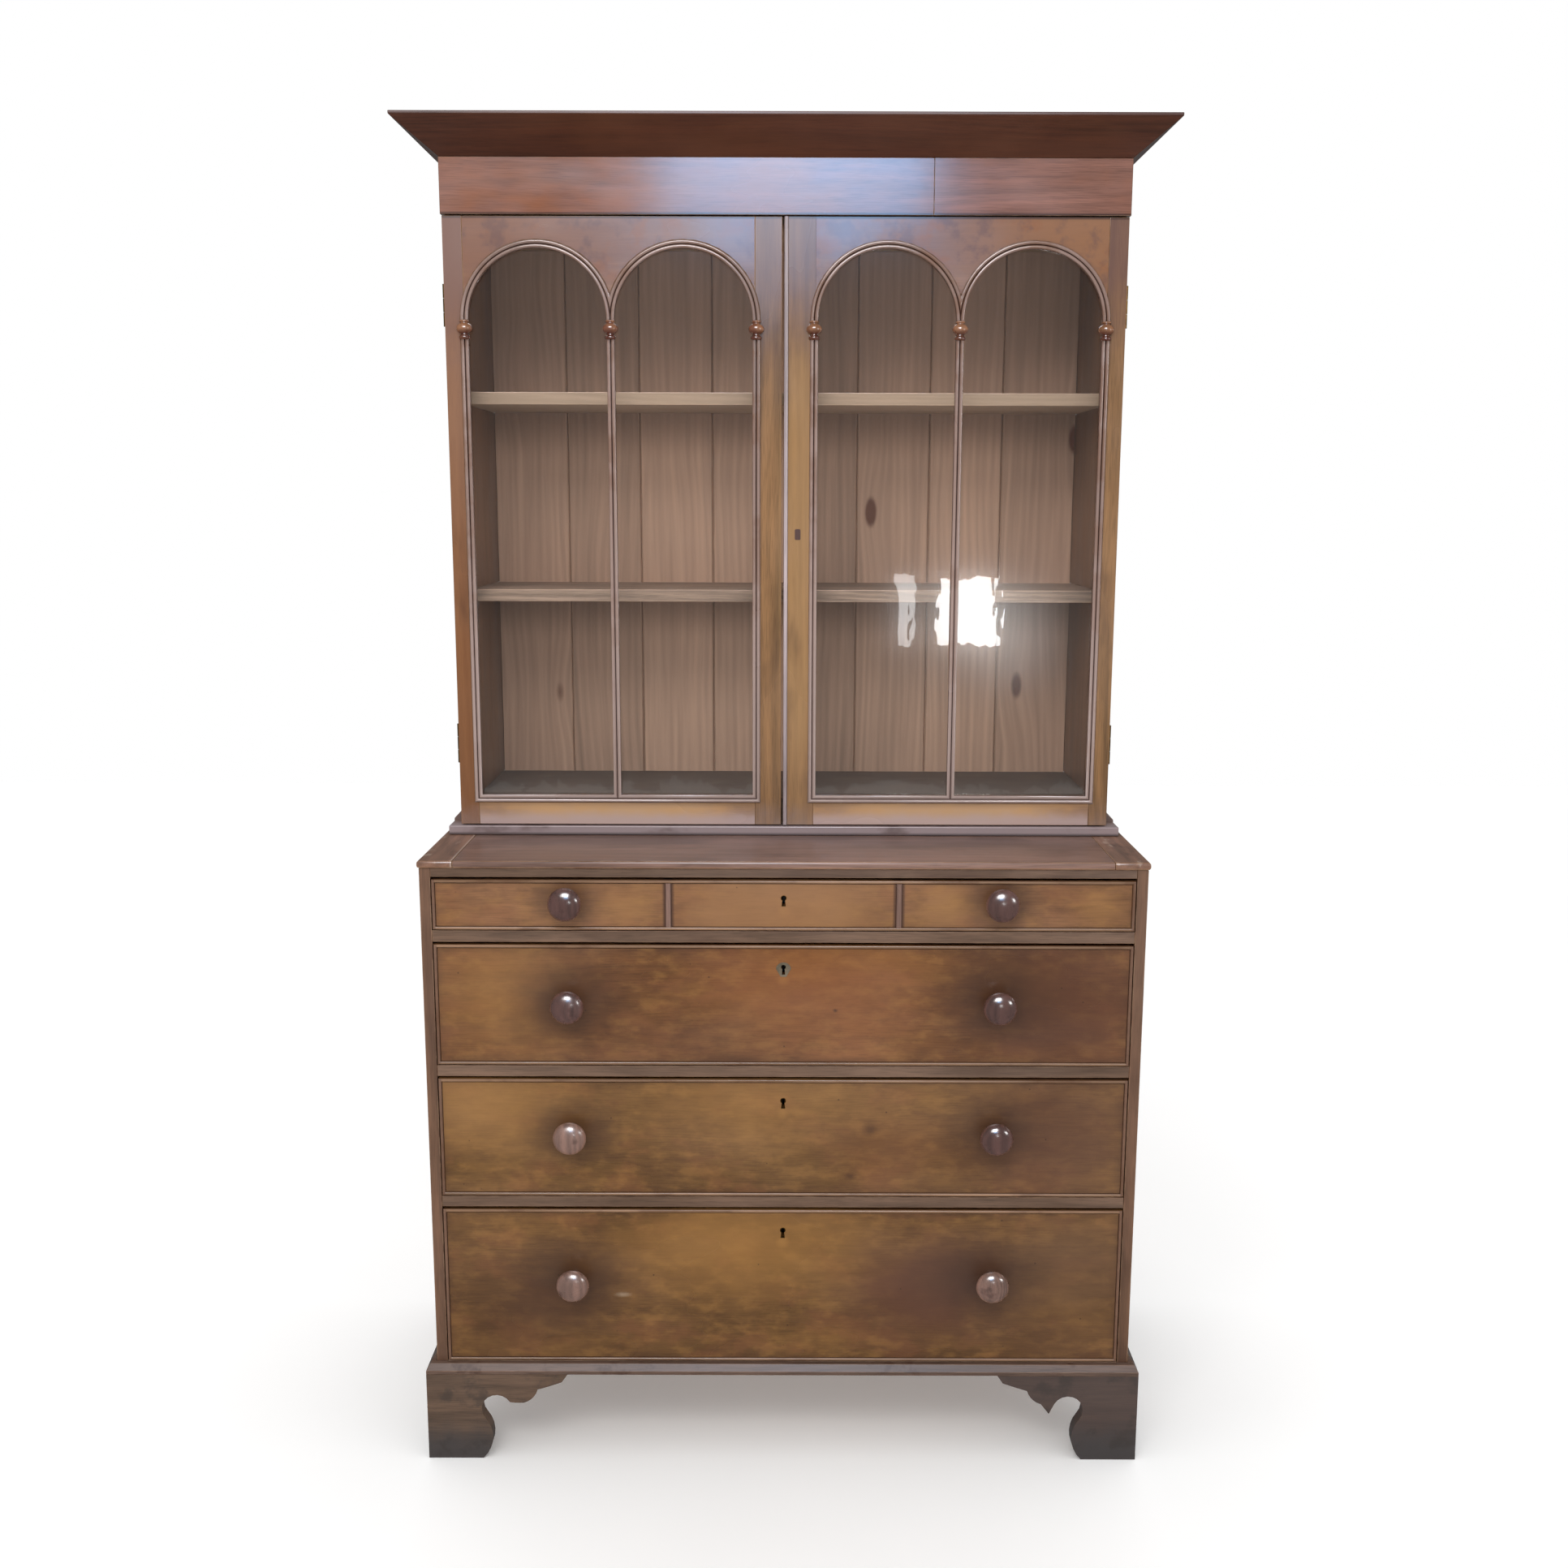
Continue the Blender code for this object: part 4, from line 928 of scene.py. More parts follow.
# %% [markdown]
# ## Boards with joints
# The chest top has a clamp across each end, the frieze veneer has a joint, and the back is
# planks. Each is a copy of its solid, cut by planes into boards. Rounding the edges of every
# board leaves the fine V that shows where two boards meet, so the joint is real shape.

# %% Boards with joints
JOINT_GAP, CLAMP_GAP, PLANK_GAP = 0.0001, 0.0004, 0.0003
CLAMP_JOINT_X, VENEER_JOINT_X = 0.503, 0.227
PLANK_JOINTS_Z = (0.35, 0.56, 0.77)
TOP_WORN, THIN_WORN, PLANK_WORN = 0.0007, 0.0006, 0.0014
BEYOND = 9.0  # a plane this far off cuts nothing


def boards(node, axis, cuts, width, name, materials, slots, gap=JOINT_GAP):
    """Cut a copy of a solid across one axis, and round each board's edges."""
    stops = [-BEYOND, *cuts, BEYOND]
    whole = bmesh.new()
    for (start, end), material in zip(zip(stops, stops[1:]), slots):
        bm = cad_copy(node)
        keep_between(bm, axis, start, end, gap)
        paint(bm.faces, material)
        soften(bm, width, edge_slot=len(materials) - 1)
        pour(bm, whole)
    body = frame["nodes"][node]["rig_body"]
    add_piece(name, whole, materials, body, [node], squared=True)


print("board cutter ready")

# %% Chest top and frieze
ledge_wood = old_wood(
    "ledge_wood", "x", shades(130, 99, 87), 9.0,
    marks=[(broken(6, 0.5, 0.66, (0.5, 1, 1)), DARK_PATINA_AND_SHADOW, 0.55)],
)
clamp_wood = old_wood(
    "clamp_wood", "y", shades(134, 97, 77), 10.0,
    marks=[
        (broken(22, 0.5, 0.66, (1, 0.5, 1)), DARK_PATINA_AND_SHADOW, 0.5),
        (both(band("x", -0.508, -0.505), band("x", -0.4, -0.45)), tint(176, 158, 148), 0.6),
        (broken(40, 0.6, 0.68, (1, 0.35, 1)), tint(172, 150, 134), 0.6),
    ],
)
ledge_edge = rubbed_edge("ledge_edge", "x", shades(146, 108, 80), 9.0)
boards(
    "chest_top", 0, [-CLAMP_JOINT_X, CLAMP_JOINT_X], TOP_WORN, "chest_top_boards",
    [ledge_wood, clamp_wood, ledge_edge], [1, 0, 1], CLAMP_GAP,
)
FRIEZE_LOW_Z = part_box("frieze")[0].z
frieze_wood = old_wood(
    "frieze_wood", "x", shades(132, 90, 76), 11.0, shine=0.16, coat=0.6, coat_rough=0.12,
    relief=0.05,
    marks=[
        (broken(5, 0.48, 0.66, (0.6, 1, 1.5)), tint(150, 88, 46), 0.6),
        # Painted shadow along the foot of the frieze, over the door tops.
        (band("z", FRIEZE_LOW_Z + 0.005, FRIEZE_LOW_Z + 0.001), tint(44, 26, 22), 0.85),
    ],
)
frieze_edge = rubbed_edge("frieze_edge", "x", RED_BROWN, 11.0)
boards(
    "frieze", 0, [VENEER_JOINT_X], THIN_WORN, "frieze_boards",
    [frieze_wood, frieze_edge], [0, 0],
)

# %% Backs of planks
plank_pine = old_wood(
    "plank_pine", "x", shades(140, 108, 82), 12.0, ring=0.10, ring_size=0.01, **BARE,
    marks=[(broken(2.5, 0.42, 0.68), DARK_PATINA_AND_SHADOW, 0.5)],
)
plank_edge = old_wood("plank_edge", "x", shades(86, 62, 46), 12.0, **BARE)
boards(
    "chest_back", 2, PLANK_JOINTS_Z, PLANK_WORN, "chest_back_planks",
    [plank_pine, plank_edge], [0, 0, 0, 0], PLANK_GAP,
)
low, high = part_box("bookcase_back")
board_width = (high.x - low.x) / BACK_BOARDS
boards(
    "bookcase_back", 0, [low.x + board_width * i for i in range(1, BACK_BOARDS)], THIN_WORN,
    "bookcase_back_boards", [back_pine, back_edge], [0] * BACK_BOARDS,
)

# %% [markdown]
# ## Door frames
# Each door is two upright stiles with a bottom rail and a wide arched head between them. The
# solid has the arched opening already, so a copy is cut into those four boards. Each keeps
# its own grain direction. The bead on the meeting edge is a separate half-round strip.

# %% Finishes of the doors
# Painted shadow in the gaps under the frieze and along the meeting edge of the doors.
PAINTED_GAP_SHADOW = tint(48, 30, 26)
BLUE_SHEEN = tint(136, 134, 158)
DOOR_TONES = shades(144, 106, 68)
high_up = band("z", SPRING_Z - 0.05, DOOR_HIGH_Z, 0.1)
on_head = band("z", SPRING_Z, DOOR_HIGH_Z, 0.1)
# Painted shadow under the frieze: a band at the top of the doors.
under_frieze = band("z", DOOR_HIGH_Z - 0.005, DOOR_HIGH_Z - 0.001)
on_bottom_rail = band("z", SILL_Z, SILL_Z - 0.02)
far_left = band("x", -0.40, -0.47)


def mid_rail(f):
    """The middle of a door's bottom rail, away from its two ends."""
    half = OUTER_BAR_X - MIDDLE_BAR_X
    return f.smooth(from_pair(f, MIDDLE_BAR_X), half, half - 0.12)


stile_wood = old_wood(
    "stile_wood", "z", DOOR_TONES, 13.0, ring=0.10, shine=0.24, coat=0.3, relief=0.07,
    marks=[
        (stain(0.022, 1.42, 0.50, 0.08, 0.25), tint(170, 130, 82), 0.6),
        (far_left, tint(130, 82, 50), 0.75),
        # Painted shade and sheen: the stiles are darker and greyer towards the top.
        (high_up, tint(106, 76, 72), 0.7),
        (both(high_up, far_left), tint(122, 80, 60), 0.7),
        # Painted shadow under the frieze, and along the meeting edge of the left door.
        (under_frieze, PAINTED_GAP_SHADOW, 0.8),
        (both(band("x", -0.0065, -0.0035), band("x", 0.004, 0.001)), PAINTED_GAP_SHADOW, 0.8),
        (band("z", DOOR_LOW_Z + 0.075, DOOR_LOW_Z, 0.05), LILAC_BLOOM, 0.55),
        (broken(9, 0.54, 0.68, (1, 1, 0.3)), DARK_PATINA_AND_SHADOW, 0.45),
    ],
)
door_rail_wood = old_wood(
    "door_rail_wood", "x", DOOR_TONES, 14.0, ring=0.08, shine=0.2, coat=0.5, relief=0.05,
    marks=[
        # The heads take a greyed lilac-brown that is partly the wood's tone and partly painted
        # sheen; the two bluish stains are painted sheen.
        (on_head, tint(124, 90, 84), 0.75),
        (both(on_head, band("x", 0.16, 0.42)), tint(150, 102, 58), 0.6),
        (both(on_head, band("x", -0.22, -0.44)), tint(138, 92, 64), 0.45),
        (both(on_head, broken(13, 0.48, 0.62)), tint(140, 84, 46), 0.6),
        (both(on_head, broken(24, 0.5, 0.66)), tint(92, 66, 66), 0.5),
        (stain(-0.085, 1.925, 0.08, 1.3), BLUE_SHEEN, 0.4),
        (stain(0.095, 1.925, 0.06, 1.3), BLUE_SHEEN, 0.4),
        # Painted shadow under the frieze.
        (under_frieze, PAINTED_GAP_SHADOW, 0.8),
        # Painted highlight on the bottom rail: lighter, golden in the middle and in patches, with
        # a lilac painted reflection along its foot.
        (on_bottom_rail, tint(168, 134, 112), 0.6),
        (both(on_bottom_rail, mid_rail), tint(212, 170, 126), 0.75),
        (both(on_bottom_rail, broken(17, 0.46, 0.64, (0.5, 1, 1))), tint(206, 156, 100), 0.5),
        (band("z", DOOR_LOW_Z + 0.030, DOOR_LOW_Z + 0.010, 0.008), tint(188, 166, 166), 0.75),
    ],
)
door_edge = rubbed_edge("door_edge", "z", GOLDEN, 13.0)
# Painted highlight: the meeting bead takes a pale blue-lilac tone; painted shade darkens its root.
bead_wood = old_wood(
    "bead_wood", "z", shades(172, 156, 158), 15.0, shine=0.25, coat=0.4, pores=0.15,
    marks=[(band("y", DOOR_FACE_Y - 0.0018, DOOR_FACE_Y - 0.0002), tint(72, 42, 32), 0.85)],
)
print("made", stile_wood.name, door_rail_wood.name, bead_wood.name)

# %% Door frames
STILE_JOINT_INNER = INNER_BAR_X + 0.002
BEAD_END_X, BEAD_RISE, BEAD_GAP = 0.005, 0.0030, 0.0003
MEETING_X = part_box("right_door_frame")[0].x


def half_round(x, half, rise, face_y, back_y, low_z, high_z, steps):
    """An upright strip whose front is half an ellipse."""
    front = arc((x, face_y), (half, rise), 180, 360, steps)
    ring = [(x - half, back_y), *front, (x + half, back_y)]
    return prism([(px, py, low_z) for px, py in ring], (0, 0, high_z - low_z))


def door_board(word, keep, slot):
    """One board of a door: a copy of the frame's solid inside a range of each axis named."""
    bm = cad_copy(f"{word}_door_frame")
    for axis, (start, end) in keep.items():
        keep_between(bm, axis, start, end, JOINT_GAP)
    paint(bm.faces, slot)
    soften(bm, THIN_WORN, edge_slot=3)
    return bm


def door_frame(word, side):
    """The four boards of one door, and the bead on the meeting edge of the right one."""
    whole = bmesh.new()
    inner_start = BEAD_END_X if side > 0 else 0.0
    middle_z = (DOOR_LOW_Z + DOOR_HIGH_Z) / 2
    spans = [
        ({0: (OUTER_BAR_X, BEYOND)}, 0),
        ({0: (inner_start, STILE_JOINT_INNER)}, 0),
        ({0: (STILE_JOINT_INNER, OUTER_BAR_X), 2: (middle_z, BEYOND)}, 1),
        ({0: (STILE_JOINT_INNER, OUTER_BAR_X), 2: (0.0, middle_z)}, 1),
    ]
    for keep, slot in spans:
        start, end = keep[0]
        keep = {**keep, 0: tuple(sorted((side * start, side * end)))}
        pour(door_board(word, keep, slot), whole)
    if side > 0:
        x, half = (MEETING_X + BEAD_END_X) / 2, (BEAD_END_X - MEETING_X) / 2 - BEAD_GAP
        back_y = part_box("right_door_frame")[1].y
        bead = half_round(
            x, half, BEAD_RISE, DOOR_FACE_Y, back_y, DOOR_LOW_Z, DOOR_HIGH_Z, 12
        )
        pour(bead, whole, 2)
    finishes = [stile_wood, door_rail_wood, bead_wood, door_edge]
    add_piece(
        f"{word}_door_boards", whole, finishes, f"{word}_door",
        [f"{word}_door_frame"], squared=True,
    )


for word, side in HANDS.items():
    door_frame(word, side)

# %% [markdown]
# ## Arcade of glazing bars
# Every light has a moulded frame of two reeds with a quirk between them. One closed section
# is pulled up the middle bar, spun round the arch, pulled down the outer bar to a mitre, and
# bridged along the sill. A cut on the middle bar's centre line leaves one reed there, and the
# mirrored light brings the other, so the two arches meet in the Y of the old door.

# %% Section of the glazing bars
OUTER_REED_Y = DOOR_FACE_Y - 0.0036
INNER_REED_Y = DOOR_FACE_Y - 0.0026
REED_ROOT_Y = DOOR_FACE_Y + 0.0004
HALF_BAR = BAR_WIDTH / 2
QUIRK = 0.0004
REED_STEPS, ARCH_STEPS = 8, 44


def bar_section():
    """(offset from the centre line, y) round the bar; minus is the side of the glass."""
    reed = (HALF_BAR - QUIRK) / 2
    middle = QUIRK + reed
    inner = arc((-middle, REED_ROOT_Y), (reed, INNER_REED_Y - REED_ROOT_Y), 180, 0, REED_STEPS)
    outer = arc((middle, REED_ROOT_Y), (reed, OUTER_REED_Y - REED_ROOT_Y), 180, 0, REED_STEPS)
    return [
        (-HALF_BAR, BAR_BACK_Y), *inner, (0.0, REED_ROOT_Y + 0.0006), *outer,
        (HALF_BAR, BAR_BACK_Y),
    ]


def move_to(geom, place):
    """Put each vertex of an extrusion where a rule says."""
    for vert in only(bmesh.types.BMVert, geom):
        vert.co = place(vert.co)


def loop_edges(geom, test):
    """The edges of an extrusion whose two ends both pass a test."""
    return [e for e in only(bmesh.types.BMEdge, geom) if all(test(v.co) for v in e.verts)]


def light_frame():
    """The moulded frame of the right door's outer light, cut at the middle bar."""
    bm = bmesh.new()
    section = bar_section()
    start = [(MIDDLE_BAR_X - d, y, SILL_Z - d) for d, y in section]
    first_edges = outline(bm, start)
    up = bmesh.ops.extrude_edge_only(bm, edges=first_edges)["geom"]
    move_to(up, lambda co: Vector((co.x, co.y, SPRING_Z)))
    ring = loop_edges(up, lambda co: abs(co.z - SPRING_Z) < 1e-6)
    verts = list({v for e in ring for v in e.verts})
    centre = (MIDDLE_BAR_X + ARCH_RADIUS, 0, SPRING_Z)
    arch = bmesh.ops.spin(
        bm, geom=verts + ring, cent=centre, axis=(0, 1, 0), angle=math.pi, steps=ARCH_STEPS
    )["geom_last"]
    last = loop_edges(arch, lambda co: True)
    down = bmesh.ops.extrude_edge_only(bm, edges=last)["geom"]
    move_to(down, lambda co: Vector((co.x, co.y, SILL_Z - (co.x - OUTER_BAR_X))))
    foot = loop_edges(down, lambda co: co.z < SPRING_Z - 0.1)
    bmesh.ops.bridge_loops(bm, edges=foot + first_edges)
    bmesh.ops.recalc_face_normals(bm, faces=bm.faces)
    keep_side(bm, (MIDDLE_BAR_X, 0, 0), (-1, 0, 0))
    return bm


def mirrored(bm, x):
    """Flip a mesh under work about an upright plane across x."""
    flip = Matrix.Translation((2 * x, 0, 0)) @ Matrix.Diagonal((-1, 1, 1, 1))
    bmesh.ops.transform(bm, matrix=flip, verts=bm.verts)
    bmesh.ops.reverse_faces(bm, faces=bm.faces)
    return bm


print("section of", len(bar_section()), "points")

# %% [markdown]
# ## Bosses
# Where each arch springs from its bar sits a small turned boss. Only its front half shows, so
# a profile of collar, ball and collar is spun half round and its flat back is closed.

# %% Bosses and the whole arcade
BOSS_Z = SPRING_Z - 0.0135
BOSS_RADIUS, BOSS_HALF = 0.0122, 0.0090
BOSS_PROFILE = [
    (0, -0.0165), (0.0066, -0.0165), *arc((0.0066, -0.0135), (0.0022, 0.003), -90, 90, 6),
    (0.0058, -0.0098), *arc((0, 0), (BOSS_RADIUS, BOSS_HALF), -62, 62, 14),
    (0.0056, 0.0092), *arc((0.0062, 0.0110), (0.0014, 0.0014), -90, 90, 5),
    (0.0052, 0.0128), (0, 0.0128),
]
BOSS_PROUD = 0.0003


def boss(x):
    """A half ball between two collars, planted on the front of a bar."""
    place = (x, DOOR_FACE_Y - BOSS_PROUD, BOSS_Z)
    half = turned(BOSS_PROFILE, place, (0, 0, 1), 20, math.pi, (-1, 0, 0))
    bmesh.ops.holes_fill(half, edges=[e for e in half.edges if e.is_boundary], sides=0)
    return half


# Painted light and shade on the glazing bars: paler low on the doors, darker at the roots of the
# reeds, and darker on the reed flanks high up.
PAINTED_BAR_SHADE = tint(66, 40, 32)
reed_flank = band("y", DOOR_FACE_Y - 0.0024, DOOR_FACE_Y - 0.0006)
bar_wood = old_wood(
    "bar_wood", "z", shades(148, 122, 112, 0.2), 16.0, shine=0.24, coat=0.5,
    ring=0.0, streak=0.15, pores=0.0,
    marks=[
        (broken(11, 0.48, 0.62), tint(120, 84, 62), 0.6),
        (band("z", SPRING_Z - 0.15, SILL_Z), tint(184, 164, 158), 0.6),
        (band("y", DOOR_FACE_Y - 0.0014, DOOR_FACE_Y), PAINTED_BAR_SHADE, 0.85),
        (both(reed_flank, band("z", 1.3, 1.6)), PAINTED_BAR_SHADE, 0.45),
    ],
)
boss_wood = old_wood(
    "boss_wood", "z", shades(150, 104, 74), 17.0, shine=0.2, coat=0.6, ring=0.0,
    marks=[
        (broken(30, 0.45, 0.6), tint(96, 44, 34), 0.6),
        # Painted shade: the lower half of each boss is darker.
        (band("z", BOSS_Z + 0.001, BOSS_Z - 0.007), tint(74, 34, 28), 0.75),
    ],
)
for word, side in HANDS.items():
    whole = bmesh.new()
    pour(light_frame(), whole, 0)
    pour(mirrored(light_frame(), MIDDLE_BAR_X), whole, 0)
    for x in (INNER_BAR_X, MIDDLE_BAR_X, OUTER_BAR_X):
        pour(boss(x), whole, 1)
    if side < 0:
        mirrored(whole, 0.0)
    add_piece(
        f"{word}_door_bars", whole, [bar_wood, boss_wood], f"{word}_door",
        [f"{word}_door_arcade"], crease=50,
    )

# %% [markdown]
# ## Drawer fronts
# A drawer front is a board with a small rounded bead let in all round. Insetting the front
# face again and again, each time a little in and up or down, draws that bead with clean
# mitres. The keyhole and the two holes for the knobs are cut by an exact Boolean.

# %% Bead, keyhole and cutter
BEAD_WIDTH, BEAD_HEIGHT, BEAD_STEPS = 0.0048, 0.0026, 8
QUIRK_WIDTH, QUIRK_DEPTH = 0.0005, 0.0009
KNOB_X = 0.331
KNOB_Z = {w: sum(c.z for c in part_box(f"{w}_drawer_left_knob")) / 2 for w in DRAWERS}
KEY_DROP = {"top": 0.032, "upper": 0.039, "lower": 0.039, "bottom": 0.039}
KEY_EYE, KEY_HEIGHT = 0.0045, 0.0175


def carve(bm, tool):
    """Cut one mesh under work out of another with an exact Boolean."""
    made = []
    for name, source in (("carve_board", bm), ("carve_tool", tool)):
        bmesh.ops.recalc_face_normals(source, faces=source.faces)
        mesh = bpy.data.meshes.new(name)
        source.to_mesh(mesh)
        source.free()
        made.append(bpy.data.objects.new(name, mesh))
        scene.collection.objects.link(made[-1])
    board, cutter = made
    modifier = board.modifiers.new("cut", "BOOLEAN")
    modifier.operation, modifier.solver, modifier.object = "DIFFERENCE", "EXACT", cutter
    result = bmesh.new()
    result.from_object(board, bpy.context.evaluated_depsgraph_get())
    for item in made:
        mesh = item.data
        bpy.data.objects.remove(item)
        bpy.data.meshes.remove(mesh)
    return result


def keyhole(z, grow=0.0):
    """Outline of a keyhole: a round eye over a slot that widens downwards."""
    eye = KEY_EYE + grow
    eye_z, foot = z + KEY_HEIGHT / 2 - KEY_EYE, z - KEY_HEIGHT / 2 - grow
    slot = KEY_EYE * 0.75 + grow
    return [(-slot, foot), (slot, foot), *arc((0, eye_z), (eye, eye), -60, 240, 14)]


def beaded_board(low, high):
    """A board whose front is framed by a half-round bead and a fine quirk."""
    bm = block(low, high)
    bm.normal_update()
    face = min(bm.faces, key=lambda each: each.normal.y)
    angles = [math.pi * i / BEAD_STEPS for i in range(BEAD_STEPS + 1)]
    steps = [
        ((math.cos(a) - math.cos(b)) / 2 * BEAD_WIDTH, (math.sin(b) - math.sin(a)) * BEAD_HEIGHT)
        for a, b in zip(angles, angles[1:])
    ]
    steps += [(QUIRK_WIDTH, -QUIRK_DEPTH), (QUIRK_WIDTH, QUIRK_DEPTH)]
    for thickness, depth in steps:
        rim = bmesh.ops.inset_individual(
            bm, faces=[face], thickness=thickness, depth=depth, use_even_offset=True
        )
        paint(rim["faces"], 1)
    return bm


print("bead of", BEAD_STEPS, "steps, keyhole", KEY_HEIGHT, "m high")

# %% [markdown]
# ## Finishes of the drawers
# Hands have darkened the polish round every knob, the fields are darker along their edges, and
# light has turned some fields golden and left others red. Four fronts of one wood would look new,
# so each has its own tones and its own large stains, over the fine mottle that they share.

# %% Marks on the drawer fronts
GLOW = tint(164, 117, 60)
ORANGE = tint(150, 90, 46)
RED_STAIN = tint(92, 57, 41)
DEEP_STAIN = tint(80, 52, 35)
KNOT = tint(80, 52, 34)
STRIP_X, STRIP_HALF, STRIP_RISE, STRIP_ROOT = 0.176, 0.005, 0.0024, 0.001
EDGE_DIRT = 0.026


def on_ends(f):
    """The upright runs of the bead, at both ends of a drawer."""
    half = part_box("top_drawer_front")[1].x
    return f.smooth(f.math("ABSOLUTE", f.x), half - BEAD_WIDTH - 0.001, half - BEAD_WIDTH)


def beside_strips(f):
    """Painted shade in the corner on both sides of the upright strips."""
    return f.smooth(from_pair(f, STRIP_X), STRIP_HALF + 0.0055, STRIP_HALF + 0.001)


def drawer_finish(word, tones, seed, halo, dirt, stains):
    """The field of one drawer: its own tones, dark round the knobs and along the edges."""
    low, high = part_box(f"{word}_drawer_front")
    dirt_width = min(EDGE_DIRT, (high.z - low.z) / 6)
    marks = [
        (edge_darkening((low.x, low.z), (high.x, high.z), dirt_width), DARK_PATINA_AND_SHADOW, 0.6),
        (broken(13, 0.48, 0.7, (0.35, 1, 1)), tint(92, 58, 38), 0.30),
        (broken(8, 0.5, 0.72, (0.5, 1, 1)), GLOW, 0.28),
        (broken(19, 0.48, 0.66, (0.6, 1, 1)), tint(136, 84, 52), 0.30),
        (broken(44, 0.44, 0.70, (0.5, 1, 1)), GLOW, 0.32),
        (broken(60, 0.44, 0.74, (0.5, 1, 1)), tint(84, 54, 34), 0.34),
        (stain(0.0, high.z - KEY_DROP[word] - 0.016, 0.014), GLOW, 0.5),
    ]
    marks += [(stain(*spot), colour, strength) for spot, colour, strength in stains]
    if word == "top":
        marks.append((beside_strips, tint(74, 46, 34), 0.75))
    marks += [
        (stain(side * KNOB_X, KNOB_Z[word], halo, 1.25, 0.015), DARK_PATINA_AND_SHADOW, dirt)
        for side in (-1, 1)
    ]
    marks.append((specks(26, 0.05), tint(62, 40, 28), 0.7))
    return old_wood(
        f"{word}_drawer_wood", "x", tones, seed, ring=0.03, streak=0.2, blotch=0.7,
        shine=0.3, coat=0.2, relief=0.1, marks=marks,
    )


print("marks ready")

# %% Finishes of the drawers
cockbead_wood = old_wood(
    "cockbead_wood", "x", shades(136, 103, 77), 18.0, shine=0.3, pores=0.1, ring=0.0,
    marks=[
        # Painted shade: the upright runs of the bead are darker than the level runs, and its root
        # is darkened in the quirk.
        (on_ends, tint(104, 74, 62), 0.6),
        (band("y", CHEST_FACE_Y - 0.0014, CHEST_FACE_Y + 0.0002), tint(66, 42, 30), 0.85),
        (broken(9, 0.5, 0.64), tint(100, 68, 46), 0.6),
    ],
)
strip_wood = old_wood(
    "strip_wood", "z", shades(134, 104, 92), 19.0, shine=0.3, ring=0.0,
    # Painted shade in the grooves: each strip is darker at its feet.
    marks=[(band("y", CHEST_FACE_Y - 0.0021, CHEST_FACE_Y - 0.0011), tint(60, 36, 26), 0.9)],
)
# Tones, seed, reach and strength of the halos, and the stains: their place, colour and strength.
DRAWER_LOOKS = {
    "top": (
        shades(134, 92, 58), 21.0, 0.06, 0.5,
        [
            ((0.0, 0.89, 0.16, 1.3, 0.06), tint(160, 116, 76), 0.6),
            ((0.25, 0.915, 0.06, 1.2), GLOW, 0.5),
            ((0.48, 0.915, 0.05, 1.2), GLOW, 0.35),
            ((-0.24, 0.915, 0.06, 1.2), GLOW, 0.4),
        ],
    ),
    "upper": (
        shades(119, 76, 41), 22.0, 0.11, 0.75,
        [
            ((-0.43, 0.78, 0.14, 1.2), GLOW, 0.45),
            ((0.05, 0.80, 0.15, 1.8), ORANGE, 0.5),
            ((-0.14, 0.69, 0.10, 2.0), DEEP_STAIN, 0.3),
            ((0.42, 0.76, 0.17, 1.2, 0.02), RED_STAIN, 0.75),
            ((0.08, 0.75, 0.004, 1.4), KNOT, 0.9),
        ],
    ),
    "lower": (
        shades(118, 83, 44), 23.0, 0.08, 0.6,
        [
            ((-0.46, 0.60, 0.13, 1.6), GLOW, 0.6),
            ((-0.05, 0.61, 0.11, 2.6), GLOW, 0.4),
            ((0.18, 0.52, 0.11, 1.6), tint(122, 76, 47), 0.4),
            ((0.42, 0.55, 0.18, 1.2, 0.02), RED_STAIN, 0.7),
            ((0.137, 0.557, 0.016, 1.2), KNOT, 0.7),
            ((0.105, 0.478, 0.009, 1.6), KNOT, 0.8),
        ],
    ),
    "bottom": (
        shades(113, 78, 41), 24.0, 0.11, 0.75,
        [
            ((-0.06, 0.36, 0.14, 2.2), GLOW, 0.65),
            ((0.235, 0.285, 0.14, 1.3, 0.03), RED_STAIN, 0.85),
            ((0.47, 0.32, 0.13, 1.0, 0.04), tint(100, 70, 45), 0.6),
            ((-0.42, 0.25, 0.13, 1.7), DEEP_STAIN, 0.55),
            ((0.42, 0.21, 0.08, 1.8), DEEP_STAIN, 0.45),
            ((-0.255, 0.277, 0.006, 3.0), tint(170, 146, 120), 0.8),
        ],
    ),
}
drawer_woods = {word: drawer_finish(word, *DRAWER_LOOKS[word]) for word in DRAWERS}
print("made", [wood.name for wood in drawer_woods.values()])

